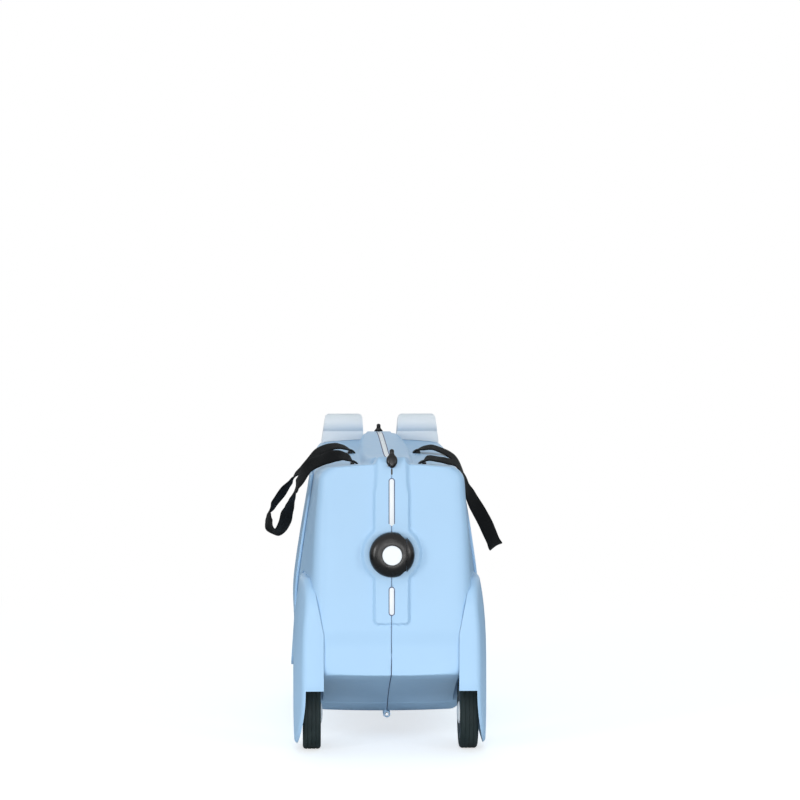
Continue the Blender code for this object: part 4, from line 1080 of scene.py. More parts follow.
    def outer_mesh(self, name: str, side: Side) -> Mesh:
        """Return the outside of half the case as a closed solid.

        Each end face is made of sections that shrink towards the seam, and one flat face closes
        the seam.

        Args:
            name: the mesh's name.
            side: the half.

        Returns:
            The closed mesh.
        """
        reach = self.band_reach()
        stations = self.stations(0.0, FINE)
        caps = []
        for depth, side_cut, top_cut in (stations[0], stations[-1]):
            rim = self.section(depth, 0.0, side_cut, top_cut, FINE)
            middle = (rim[0][1] + rim[-1][1]) / 2
            rings = []
            for share in CAP_SHARES:
                pull = 1 - (1 - share) * self.cap_pull
                rings.append([(x * share, depth, middle + (z - middle) * pull) for x, z in rim])
            caps.append(rings)
        rows = caps[0][::-1]
        for depth, side_cut, top_cut in stations:
            rows.append([(x, depth, z) for x, z in self.section(depth, 0.0, side_cut, top_cut, FINE)])
        rows += caps[1]
        bm = bmesh.new()
        verts = []
        for row in rows:
            line = []
            for x, depth, z in row:
                y, z = self.apron(depth - self.length / 2, z)
                point = self.part_line(self.raised(x, y, z, reach), depth)
                if x == 0:
                    inward = Vector((0, point.y, point.z - CENTRE_Z)).normalized()
                    point -= inward * self.seam_groove
                line.append(bm.verts.new((side.value * (GAP / 2 + point.x), point.y, point.z)))
            verts.append(line)
        for row, after in zip(verts, verts[1:]):
            for i in range(len(row) - 1):
                bm.faces.new((row[i], row[i + 1], after[i + 1], after[i]))
        rim = [row[0] for row in verts] + verts[-1][1:-1]
        rim += [row[-1] for row in reversed(verts)] + verts[0][-2:0:-1]
        self.seam_loop = [(vert.co.y, vert.co.z) for vert in rim]
        bm.faces.new(rim)
        return finish_mesh(bm, name, 50)

    def apron(self, y: float, z: float) -> Point2:
        """Return a point of an end face, drawn in a little below the crease.

        Args:
            y: its y.
            z: its height.

        Returns:
            Its new y and height.
        """
        if abs(y) > self.length / 2 - self.side_round and z < self.apron_top:
            share = ease(self.apron_top, self.apron_top - self.apron_run, z)
            y -= math.copysign(self.apron_drop * share, y)
        return y, z

    def part_line(self, point: Vector, depth: float) -> Vector:
        """Return a point of the tail, pressed in on its parting line.

        Args:
            point: the point, which is changed.
            depth: its own depth.

        Returns:
            The point.
        """
        on_line = abs(min(depth, self.length - depth) - self.parting) < self.parting_reach
        if on_line and point.z < self.underside(depth) + self.lower_corner:
            point.z += self.parting_press
        return point

    def cavity_mesh(self, name: str, side: Side) -> Mesh:
        """Return the hollow of half the case, a little past the seam."""
        stations = self.stations(self.wall, PLAIN)
        return loft(name, [self.half_ring(side, depth, self.wall, *cuts) for depth, *cuts in stations])


@dataclass
class HousingForm:
    """A wheel housing as numbers: its side view, its domed skin and the flank it sits against."""

    body: BodyForm
    radius: float = 0.067
    foot: float = 0.006
    top: float = 0.195
    top_round: float = 0.035
    wall: float = 0.003
    edge_round: float = 0.005
    reach: float = 0.1075
    end_drop: float = 0.011
    top_drop: float = 0.0085
    top_fullness: float = 3.2
    middle: float = 0.060
    flank: float = 0.0736
    flank_bend: float = 0.135
    flank_top: float = 0.0856
    well_span: Point2 = (0.05, 0.14)
    skin_shares: tuple[float, ...] = (0.94, 0.86, 0.76, 0.64, 0.5, 0.35, 0.2, 0.08)

    @property
    def centre(self) -> float:
        """Return the height of the round foot's centre."""
        return self.foot + self.radius

    def outline(self, inset: float) -> list[Point2]:
        """Return the side view as (depth, z), drawn in by an inset.

        Args:
            inset: how far it is drawn in.

        Returns:
            Points (depth, z).
        """
        corner = self.top_round - inset
        side = self.radius - self.top_round
        top = self.top - self.top_round
        rise = top - self.centre
        points = arc((self.radius, self.centre), self.radius - inset, 180, 360, 40)
        points += [(2 * self.radius - inset, self.centre + rise * k / 8) for k in range(1, 8)]
        points += arc((self.radius + side, top), corner, 0, 90, 14)
        points += [(self.radius + side - 2 * side * k / 6, self.top - inset) for k in range(1, 6)]
        points += arc((self.radius - side, top), corner, 90, 180, 14)
        points += [(inset, top - rise * k / 8) for k in range(1, 8)]
        return points

    def cavity(self, drawn_in: float) -> list[Point2]:
        """Return the hollow as (depth, z): inside the walls, and past the edge below them.

        Args:
            drawn_in: how far it is drawn in.

        Returns:
            Points (depth, z).
        """
        inset = self.wall + drawn_in
        corner = self.top_round - inset
        side = self.radius - self.top_round
        top = self.top - self.top_round
        points = arc((self.radius, self.centre), self.radius + OVERRUN, 180, 360, 30)
        points.append((self.radius + side + corner, self.centre))
        points += arc((self.radius + side, top), corner, 0, 90, 10)
        points += arc((self.radius - side, top), corner, 90, 180, 10)
        points.append((self.radius - side - corner, self.centre))
        return points

    def surface(self, depth: float, z: float) -> float:
        """Return the distance from the seam of the domed outer skin."""
        along = (depth - self.radius) / self.radius
        up = abs(z - self.centre) / (self.top - self.centre)
        return self.reach - self.end_drop * along**2 - self.top_drop * up**self.top_fullness

    def domed(self, side: Side, end: End, outline: Callable[[float], list[Point2]], base: float,
              inset: float, rounding: float) -> Mesh:
        """Return a solid from a flat base out to the domed skin.

        Args:
            side: the half it is on.
            end: the end it is at.
            outline: gives the side view, drawn in by a distance.
            base: how far from the seam the solid starts.
            inset: how far inside the skin it ends.
            rounding: the radius of its outer edge, or 0.

        Returns:
            The closed mesh.
        """
        rows = [(0.0, None)]
        steps = 6 if rounding else 0
        for step in range(steps + 1):
            turn = math.pi / 2 * step / max(steps, 1)
            rows.append((rounding * (1 - math.cos(turn)), -rounding * (1 - math.sin(turn))))
        rings = []
        for drawn_in, rise in rows:
            ring = []
            for depth, z in outline(drawn_in):
                x = base if rise is None else self.surface(depth, z) - inset + rise
                ring.append(Vector((side.value * x, self.body.y(end, depth), z)))
            rings.append(ring)
        rim = outline(rounding)
        for share in self.skin_shares:
            ring = []
            for depth, z in rim:
                depth = self.radius + (depth - self.radius) * share
                z = self.middle + (z - self.middle) * share
                x = self.surface(depth, z) - inset
                ring.append(Vector((side.value * x, self.body.y(end, depth), z)))
            rings.append(ring)
        return loft("domed", rings, smooth=40)

    def flank_mesh(self, side: Side, end: End, grow: float) -> Mesh:
        """Return the region that the body keeps beside the wheels as a solid, with a margin.

        Args:
            side: the half.
            end: the end.
            grow: the margin.

        Returns:
            The closed mesh.
        """
        past = 0.02
        low, high = -past, self.top + past
        straight, slanted = self.flank + grow, self.flank_top + grow
        outline = [(0.0, low), (straight, low), (straight, self.flank_bend), (slanted, self.top),
                   (slanted, high), (0.0, high)]
        outline = [(side.value * x, z) for x, z in outline]
        ends = sorted((self.body.y(end, -past), self.body.y(end, 2 * self.radius + past)))
        return prism("flank", outline, "Y", *ends)

    def well(self, kit: Kit, side: Side, end: End, grow: float) -> Mesh:
        """Return the space that the housing takes from the body, with a margin.

        Args:
            kit: the workshop.
            side: the half.
            end: the end.
            grow: the margin.

        Returns:
            The closed mesh.
        """
        outline = [(self.body.y(end, depth), z) for depth, z in self.outline(-GAP - grow)]
        span = sorted(side.value * x for x in self.well_span)
        well = kit.add("well", prism("well", outline, "X", *span))
        kit.cut(well, self.flank_mesh(side, end, -grow))
        return kit.take_mesh(well)


@dataclass
class Hinge:
    """The knuckles under the belly, which alternate between the halves."""

    body: BodyForm
    height: float = 0.022
    radius: float = 0.004
    count: int = 5
    gap: float = 0.001
    pin_radius: float = 0.002
    pin_length: float = 0.168
    foot_share: float = 0.6
    edge_round: float = 0.0005

    def build(self, kit: Kit, side: Side) -> None:
        """Make the knuckles of one half as one piece.

        Args:
            kit: the workshop.
            side: the half.
        """
        pitch = self.pin_length / self.count
        first = 0 if side is Side.LEFT else 1
        piece: Optional[Piece] = None
        for index in range(first, self.count, 2):
            start = -self.pin_length / 2 + pitch * index + self.gap / 2
            stop = start + pitch - self.gap
            ends = (0, start, self.height), (0, stop, self.height)
            barrel = rod_mesh("knuckle", *ends, self.radius, 40)
            if piece is None:
                piece = kit.add(f"{side.label}_knuckles", barrel)
            else:
                kit.join(piece, barrel)
            corner = (side.value * GAP, start, self.height - self.radius * self.foot_share)
            opposite = (side.value * self.radius, stop, self.body.belly + self.body.wall / 2)
            kit.join(piece, box_mesh("knuckle_foot", corner, opposite))
        reach = self.pin_length / 2 + OVERRUN
        ends = (0, -reach, self.height), (0, reach, self.height)
        kit.cut(piece, rod_mesh("bore", *ends, self.pin_radius + GAP, 24))
        kit.bevel(piece, self.edge_round)
        kit.keep(kit.bake(piece), side.half, Finish.BODY)


@dataclass
class HalfShell:
    """One moulded half of the case with its hollow, wheel wells and slots."""

    body: BodyForm
    housing: HousingForm
    handle: "CarryHandle"
    slot_size: Triple = (0.0052, 0.0181, 0.032)
    lug_span: Point2 = (-0.0026, -0.0003)
    lug_radius: float = 0.0020
    pin_bore: float = 0.0018

    def build(self, kit: Kit, side: Side) -> None:
        """Make the half and put it in place of the frame's shell.

        Args:
            kit: the workshop.
            side: the half.
        """
        name = f"{side.label}_half_shell"
        cavity = kit.add("cavity", self.body.cavity_mesh("cavity", side))
        for end in End:
            kit.cut(cavity, self.housing.well(kit, side, end, self.body.wall))
        hollow = kit.take_mesh(cavity)
        shell = kit.add(name, self.body.outer_mesh(name, side))
        for end in End:
            kit.cut(shell, self.housing.well(kit, side, end, 0.0))
        kit.cut(shell, hollow)
        half = Vector(self.slot_size) / 2
        for depth in (self.handle.near, self.handle.far):
            height = self.body.top(depth, self.handle.seat)
            middle = Vector((side.value * self.handle.seat, depth - self.body.length / 2, height))
            kit.cut(shell, box_mesh("slot", middle - half, middle + half))
        kit.bake(shell, 40)
        kit.keep(shell, side.half, Finish.BODY, f"{side.label}_shell")

    def build_lugs(self, kit: Kit, pivots: dict[End, Point2]) -> None:
        """Make the lug of each latch on the left half.

        Args:
            kit: the workshop.
            pivots: y and z of each latch's pivot.
        """
        for end, (y, z) in pivots.items():
            root = self.body.y(end, -self.body.band_proud + self.body.wall / 2)
            outward = 90 if end is End.REAR else -90
            outline = arc((y, z), self.lug_radius, outward, outward + 180, 16)
            outline += [(root, z + end.value * self.lug_radius), (root, z - end.value * self.lug_radius)]
            lug = kit.add(f"{end.label}_latch_lug", prism("lug", outline, "X", *self.lug_span))
            kit.cut(lug, rod_mesh("bore", (-OVERRUN, y, z), (0.001, y, z), self.pin_bore, 24))
            kit.keep(kit.bake(lug), "left_half", Finish.BODY)


@dataclass
class Housings:
    """The four wheel housings, with spindle and screw boss inside."""

    form: HousingForm
    wheel: "Wheel"
    spindle_radius: float = 0.007
    spindle_start: float = 0.0849
    shoulder_radius: float = 0.011
    shoulder_gap: float = 0.0022
    screw_height: float = 0.125
    boss_radius: float = 0.006
    root: float = 0.004
    edge_round: float = 0.0007

    def build(self, kit: Kit, side: Side, end: End) -> None:
        """Make one housing in place of the frame's.

        Args:
            kit: the workshop.
            side: the half.
            end: the end.
        """
        form, wheel = self.form, self.wheel
        node = f"{end.label}_{side.label}_housing"
        base = form.flank - self.root
        skin = form.domed(side, end, form.outline, base, 0, form.edge_round)
        housing = kit.add(f"{node}_skin", skin)
        kit.cut(housing, form.domed(side, end, form.cavity, base - OVERRUN, form.wall, 0))
        kit.cut(housing, form.flank_mesh(side, end, GAP))
        kit.bevel(housing, self.edge_round, 2, 50)
        kit.keep(kit.bake(housing, 40), side.half, Finish.BODY, node)

        def across(distance: float, depth: float, height: float) -> Vector:
            """Return the point at a distance from the seam."""
            return Vector((side.value * distance, form.body.y(end, depth), height))

        axis = wheel.depth, wheel.radius
        inside = form.surface(*axis) - form.wall / 2
        start = wheel.inner_face + wheel.width + self.shoulder_gap
        shoulder = rod_mesh("shoulder", across(start, *axis), across(inside, *axis), self.shoulder_radius, 48)
        spindle = kit.add(f"{node}_spindle", shoulder)
        ends = across(self.spindle_start, *axis), across(inside - 0.0005, *axis)
        kit.join(spindle, rod_mesh("core", *ends, self.spindle_radius, 48))
        kit.keep(kit.bake(spindle), side.half, Finish.BODY)
        axis = form.radius, self.screw_height
        inside = form.surface(*axis) - form.wall / 2
        boss = rod_mesh("boss", across(form.flank + GAP, *axis), across(inside, *axis), self.boss_radius)
        kit.make(f"{node}_boss", boss, side.half, Finish.BODY)


@dataclass
class Wheel:
    """A wheel: grooved tyre, spoked hub and domed cap."""

    form: HousingForm
    depth: float = 0.065
    radius: float = 0.0395
    inner_face: float = 0.077
    width: float = 0.020
    shoulder: float = 0.0035
    grooves: Triple = (0.0045, 0.0, -0.0045)
    rim_radius: float = 0.030
    bore: float = 0.0074
    hub_boss: Point2 = (0.010, 0.0018)
    cap_radius: float = 0.0123
    cap_seat: float = 0.0016
    cap_dome: float = 0.0024
    bolt_seat: Point2 = (0.0089, 0.005)
    recess: float = 0.0006
    spokes: int = 8
    spoke_radii: Point2 = (0.0098, 0.0268)
    spoke_width: float = 0.0022
    spoke_heights: Point2 = (-0.0002, 0.0078)

    def matrix(self, side: Side, end: End) -> Matrix:
        """Return the placing of a wheel, whose own +Z points outwards."""
        x, y = self.inner_face + self.width / 2, self.form.body.y(end, self.depth)
        turn = Matrix.Rotation(side.value * math.pi / 2, 4, "Y")
        return Matrix.Translation((side.value * x, y, self.radius)) @ turn

    def tyre_profile(self) -> list[Point2]:
        """Return the tyre's section: round shoulders, a flat tread with three fine grooves and a bead."""
        half, tread, low, round_off = self.width / 2, self.radius, self.rim_radius, self.shoulder
        points = arc((tread - round_off, half - round_off), round_off, 90, 0, 8)
        for place in self.grooves:
            points += [(tread, place + 0.0005), (tread - 0.0005, place + 0.0003),
                       (tread - 0.0005, place - 0.0003), (tread, place - 0.0005)]
        points += arc((tread - round_off, -half + round_off), round_off, 0, -90, 8)
        bead = [(low + 0.0035, -half), (low + 0.0030, -half + 0.0004), (low + 0.0008, -half + 0.0004),
                (low, -half + 0.001)]
        return points + bead + [(r, -z) for r, z in reversed(bead)]

    def hub_profile(self) -> list[Point2]:
        """Return the hub's section: boss, web, rim and the seat of the cap."""
        half, bore, inner = self.width / 2, self.bore, self.recess - self.width / 2
        boss, boss_out = self.hub_boss[0], half + self.hub_boss[1]
        seat, seat_radius = inner + self.cap_seat, self.cap_radius + GAP
        bolt_radius, bolt = self.bolt_seat[0], inner + self.bolt_seat[1]
        web = bolt + 0.005
        rim = self.rim_radius - GAP
        drop, edge = rim - 0.003, half - 0.001
        return [
            (bore, boss_out), (boss - 0.0006, boss_out), (boss, boss_out - 0.0006), (boss, web + 0.001),
            (boss + 0.001, web), (drop - 0.001, web), (drop, web + 0.001), (drop, edge - 0.0005),
            (drop + 0.0005, edge), (rim - 0.0005, edge), (rim, edge - 0.0005), (rim, inner + 0.0006),
            (rim - 0.0006, inner), (0.0242, inner), (0.0236, inner + 0.0011), (0.0150, inner + 0.0011),
            (0.0144, inner), (seat_radius, inner), (seat_radius, seat), (bolt_radius, seat),
            (bolt_radius, bolt), (bore, bolt),
        ]

    def cap_profile(self) -> list[Point2]:
        """Return the cap's section: a low dome with a rolled rim, its outside towards -z."""
        seat = -self.width / 2 + self.recess + self.cap_seat - GAP
        edge = seat - self.cap_seat
        points = [(0.0, seat), (self.cap_radius, seat), (self.cap_radius, edge)]
        for step in range(1, 12):
            turn = math.radians(90 * step / 12)
            out = self.cap_radius * math.cos(turn) * 0.985
            points.append((out, edge - self.cap_dome * math.sin(turn)))
        return points + [(0.0, edge - self.cap_dome)]

    def build(self, kit: Kit, side: Side, end: End, ribs: "RibTree") -> None:
        """Make one wheel in place of the frame's.

        Args:
            kit: the workshop.
            side: the half the wheel is on.
            end: the end it is at.
            ribs: the tree that repeats a rib round an axis.
        """
        label = f"{end.label}_{side.label}"
        body, matrix = f"{label}_wheel", self.matrix(side, end)
        for part, profile, steps, finish in (("tyre", self.tyre_profile(), 120, Finish.TYRE),
                                             ("hub", self.hub_profile(), 96, Finish.HUB),
                                             ("cap", self.cap_profile(), 72, Finish.WHITE)):
            name = f"{label}_{part}_form"
            kit.make(name, lathe(name, profile, matrix, steps), body, finish, f"{label}_{part}")
        spokes = ribs.ring(f"{label}_spokes", self.spokes, self.spoke_radii, self.spoke_width,
                           self.spoke_heights, matrix, kit.finishes.made[Finish.HUB])
        kit.keep(spokes, body, Finish.HUB)


class RibTree(NodeTree):
    """A Geometry Nodes tree that repeats a rib round an axis."""

    INPUTS = {
        "Count": "Int", "Inner": "Float", "Outer": "Float", "Width": "Float", "Low": "Float",
        "High": "Float", "Material": "Material",
    }
    EDGE = 0.0004

    def __init__(self) -> None:
        """Build the tree."""
        super().__init__(bpy.data.node_groups.new("ribs_round_an_axis", "GeometryNodeTree"))
        sockets = self.tree.interface
        self.inputs: dict[str, str] = {}
        for name, kind in self.INPUTS.items():
            socket = sockets.new_socket(name=name, in_out="INPUT", socket_type=f"NodeSocket{kind}")
            self.inputs[name] = socket.identifier
        sockets.new_socket(name="Geometry", in_out="OUTPUT", socket_type="NodeSocketGeometry")
        start, cube = self.node("NodeGroupInput"), self.node("GeometryNodeMeshCube")
        size, place = self.node("ShaderNodeCombineXYZ"), self.node("ShaderNodeCombineXYZ")
        for low, high, axis in (("Inner", "Outer", "X"), ("Low", "High", "Z")):
            low, high = start.outputs[low], start.outputs[high]
            self.join(self.math("SUBTRACT", high, low), size.inputs[axis])
            self.join(self.math("MULTIPLY", self.math("ADD", high, low), 0.5), place.inputs[axis])
        self.join(start.outputs["Width"], size.inputs["Y"])
        self.join(size.outputs[0], cube.inputs["Size"])
        move = self.node("GeometryNodeTransform")
        self.join(cube.outputs["Mesh"], move.inputs["Geometry"])
        self.join(place.outputs[0], move.inputs["Translation"])
        points, euler = self.node("GeometryNodePoints"), self.node("ShaderNodeCombineXYZ")
        self.join(start.outputs["Count"], points.inputs["Count"])
        index = self.node("GeometryNodeInputIndex")
        share = self.math("DIVIDE", index.outputs[0], start.outputs["Count"])
        self.join(self.math("MULTIPLY", share, 2 * math.pi), euler.inputs["Z"])
        turn = self.node("FunctionNodeEulerToRotation")
        self.join(euler.outputs[0], turn.inputs[0])
        spread = self.node("GeometryNodeInstanceOnPoints")
        self.join(points.outputs[0], spread.inputs["Points"])
        self.join(move.outputs[0], spread.inputs["Instance"])
        self.join(turn.outputs[0], spread.inputs["Rotation"])
        real, paint = self.node("GeometryNodeRealizeInstances"), self.node("GeometryNodeSetMaterial")
        self.join(spread.outputs[0], real.inputs[0])
        self.join(real.outputs[0], paint.inputs["Geometry"])
        self.join(start.outputs["Material"], paint.inputs["Material"])
        self.join(paint.outputs[0], self.node("NodeGroupOutput").inputs[0])

    def ring(self, name: str, count: int, radii: Point2, width: float, heights: Point2, matrix: Matrix,
             material: bpy.types.Material) -> Piece:
        """Make a ring of ribs.

        Args:
            name: the piece's name.
            count: how many ribs.
            radii: where each starts and ends, from the axis.
            width: how wide each is.
            heights: their lowest and highest place along the axis.
            matrix: puts the ring in its place.
            material: their material.

        Returns:
            The ribs as one plain piece.
        """
        thing = bpy.data.objects.new(name, bpy.data.meshes.new(name))
        bpy.context.scene.collection.objects.link(thing)
        modifier = thing.modifiers.new("Ribs", "NODES")
        modifier.node_group = self.tree
        for key, value in zip(self.INPUTS, (count, *radii, width, *heights, material)):
            modifier[self.inputs[key]] = value
        graph = bpy.context.evaluated_depsgraph_get()
        mesh = bpy.data.meshes.new_from_object(thing.evaluated_get(graph))
        thing.modifiers.clear()
        bm = bmesh.new()
        bm.from_mesh(mesh)
        bmesh.ops.bevel(bm, geom=bm.edges[:], offset=self.EDGE, segments=2, affect="EDGES", profile=0.5)
        bm.transform(matrix)
        bpy.data.meshes.remove(mesh)
        thing.data = finish_mesh(bm, name)
        return thing


@dataclass
class Knob:
    """A tow knob: domed head on a neck, sprung gate and bare badge."""

    body: BodyForm
    radius: float = 0.0247
    neck_radius: float = 0.013
    neck_height: float = 0.0052
    projection: float = 0.0155
    flange: float = 0.0018
    chord: float = 0.0156
    notch_start: Point2 = (0.0078, 0.0234)
    notch_end: Point2 = (0.0142, 0.0174)
    play: float = 0.0004
    tongue: tuple[float, float, float, float] = (0.0072, 0.0050, 0.0072, 0.0098)
    badge_radius: float = 0.0107
    badge_thickness: float = 0.0014
    badge_recess: float = 0.0012
    screw_offset: float = 0.0075
    screw_radius: float = 0.0022
    screw_depth: float = 0.0102
    bulge: Point2 = (0.92, 0.85)

    def profile(self, recess: float) -> list[Point2]:
        """Return the knob's section, with a seat for the badge of a depth.

        Args:
            recess: the depth of the badge's seat, or 0.

        Returns:
            Points (radius, height).
        """
        top, flat = self.projection, self.badge_radius + GAP
        rim = self.neck_height + self.flange
        points = [(0.0, top - recess)]
        if recess:
            points.append((flat, top - recess))
            points.append((flat, top - 0.0003))
        points.append((flat + 0.0003, top))
        start = flat + 0.0008
        for step in range(1, 24):
            turn = math.radians(90 * step / 24)
            out = start + (self.radius - start) * math.sin(turn) ** self.bulge[0]
            points.append((out, rim + (top - rim) * math.cos(turn) ** self.bulge[1]))
        points.append((self.radius, rim))
        points += [(self.radius, self.neck_height + 0.0005), (self.radius - 0.0008, self.neck_height)]
        points += [(self.neck_radius + 0.001, self.neck_height), (self.neck_radius, self.neck_height - 0.001)]
        return points + [(self.neck_radius, GAP), (0.0, GAP)]

    def build(self, kit: Kit, end: End) -> None:
        """Make the knob, gate and badge of one end in place of the frame's.

        Args:
            kit: the workshop.
            end: the end.
        """
        height = self.body.knob_height
        face = self.body.y(end, -self.body.boss_proud)
        matrix = Matrix.Translation((0, face, height)) @ Matrix.Rotation(-end.value * math.pi / 2, 4, "X")

        def box(name: str, x: Point2, z: Point2, out: Point2) -> Mesh:
            """Return a box from ranges of x, of height over the knob's axis and of height over the boss."""
            corner = (x[0], face + end.value * out[0], height + z[0])
            return box_mesh(name, corner, (x[1], face + end.value * out[1], height + z[1]))

        past = self.radius + OVERRUN
        inner, half, low, high = self.tongue
        below = (self.neck_height - GAP, self.projection + OVERRUN)
        head = lathe("knob", self.profile(self.badge_recess), matrix, 128)
        knob = kit.add(f"{end.label}_knob_head", head)
        kit.cut(knob, box("chord", (self.chord, past), (-past, past), below))
        for up in (1, -1):
            outline = [(self.notch_start[0], past), self.notch_start, self.notch_end,
                       (past, self.notch_end[1]), (past, past)]
            outline = [(x, height + up * z) for x, z in outline]
            reach = [face + end.value * out for out in below]
            kit.cut(knob, prism("notch", outline, "Y", *reach))
        play = self.play
        slot = box("slot", (inner - play, past), (-half - play, half + play), (low - play, high + play))
        kit.cut(knob, slot)
        hole = Vector((-self.screw_offset, face - end.value * 0.001, height))
        deep = hole + Vector((0, end.value * self.screw_depth, 0))
        kit.cut(knob, rod_mesh("hole", hole, deep, self.screw_radius, 20))
        kit.bevel(knob, 0.0005, 2, 40)
        kit.keep(kit.bake(knob), "left_half", Finish.GLOSS, f"{end.label}_knob")

        outside = lathe("gate", self.profile(0.0), matrix, 128)
        gate = kit.add(f"{end.label}_knob_gate_form", outside)
        whole = (-OVERRUN, self.projection + OVERRUN)
        kit.boolean(gate, box("keep", (self.chord + play, past), (-past, past), whole), "INTERSECT")
        kit.join(gate, box("tongue", (inner, self.chord + 0.003), (-half, half), (low, high)))
        kit.bevel(gate, 0.0004, 2, 40)
        kit.keep(kit.bake(gate), f"{end.label}_knob_gate", Finish.GLOSS, f"{end.label}_gate")

        floor = self.projection - self.badge_recess + GAP
        top, radius = floor + self.badge_thickness, self.badge_radius
        section = [(0.0, top), (radius * 0.9, top), (radius * 0.93, top), (radius - 0.0004, top - 0.0001),
                   (radius - 0.0001, top - 0.0004), (radius, top - 0.0007), (radius, floor), (0.0, floor)]
        badge = lathe("badge", section, matrix, 96)
        kit.make(f"{end.label}_badge_disc", badge, "left_half", Finish.WHITE, f"{end.label}_badge")


@dataclass
class Latch:
    """A latch lever: a drop-shaped bead over the seam with a nose above the spine."""

    body: BodyForm
    proud: float = 0.0034
    drop: float = 0.0085
    clearance: float = 0.0004
    nose: Triple = (0.0021, 0.011, 0.0026)
    nose_root: float = 0.0026
    slot_span: Point2 = (-0.0030, 0.0001)
    slot_heights: Point2 = (-0.010, 0.0036)
    slot_depth: float = 0.0058
    bore_radius: float = 0.0018
    squareness: Point2 = (0.8, 0.7)
    stop_span: Point2 = (0.0040, 0.0105)
    stop_width: float = 0.0018
    stop_deep: float = 0.0008
    stop_proud: float = 0.0003
    front: Keys = (
        (-0.0032, 0.0), (-0.0027, 0.0018), (-0.0013, 0.0034), (0.0017, 0.0053), (0.0035, 0.0059),
        (0.0054, 0.0060), (0.0075, 0.0057), (0.0091, 0.0051), (0.0106, 0.0039), (0.0118, 0.0029),
        (0.0132, 0.0025), (0.0155, 0.0025), (0.0170, 0.0019), (0.0178, 0.0),
    )
    outside: Keys = (
        (-0.0032, 0.0058), (-0.0020, 0.0067), (0.0010, 0.0071), (0.0050, 0.0068), (0.0090, 0.0058),
        (0.0120, 0.0044), (0.0150, 0.0038), (0.0178, 0.0028),
    )

    def pivot(self, end: End) -> Point2:
        """Return y and z of the pivot."""
        spine = self.body.spine(0 if end is End.REAR else self.body.length)
        return self.body.y(end, -self.body.band_proud - self.proud), spine - self.drop

    def build(self, kit: Kit, end: End) -> None:
        """Make one lever in place of the frame's.

        Args:
            kit: the workshop.
            end: the end.
        """
        y, z = self.pivot(end)
        inner = self.body.y(end, -self.body.band_proud - self.clearance)
        first, last = self.front[0][0], self.front[-1][0]
        rings = []
        for step in range(33):
            rise = first + (last - first) * (1 - math.cos(math.pi * step / 32)) / 2
            half = max(through(self.front, rise), 0.0002)
            out = through(self.outside, rise) * (0.55 + 0.45 * min(1.0, half / 0.002))
            ring = []
            for corner in range(24):
                turn = 2 * math.pi * corner / 24
                cosine, sine = math.cos(turn), math.sin(turn)
                across = math.copysign(abs(cosine) ** self.squareness[0], cosine) * half
                away = out * (0.5 + 0.5 * math.copysign(abs(sine) ** self.squareness[1], sine))
                ring.append(Vector((across, inner + end.value * away, z + rise)))
            rings.append(ring)
        lever = kit.add(f"{end.label}_latch_lever_form", loft("lever", rings, smooth=60))
        half, reach, height = self.nose
        top = z + self.drop + self.clearance
        corner = (-half, inner - end.value * reach, top)
        opposite = (half, inner + end.value * self.nose_root, top + height)
        kit.join(lever, box_mesh("nose", corner, opposite))
        slot = [(x, inner + end.value * out, z + rise) for x, out, rise in
                zip(self.slot_span, (-OVERRUN, self.slot_depth), self.slot_heights)]
        kit.cut(lever, box_mesh("slot", *slot))
        kit.cut(lever, rod_mesh("bore", (-0.01, y, z), (0.01, y, z), self.bore_radius, 24))
        kit.bevel(lever, 0.0004, 2, 50)
        kit.keep(kit.bake(lever, 50), f"{end.label}_latch_lever", Finish.GLOSS, f"{end.label}_latch")
        low, high = z - self.stop_span[1], z - self.stop_span[0]
        half = self.stop_width / 2
        outline = arc((0, high - half), half, 0, 180, 10) + arc((0, low + half), half, 180, 360, 10)
        band = -self.body.band_proud
        span = [self.body.y(end, depth) for depth in (band + self.stop_deep, band - self.stop_proud)]
        kit.make(f"{end.label}_latch_stop", prism("stop", outline, "Y", *span), "left_half", Finish.GLOSS)


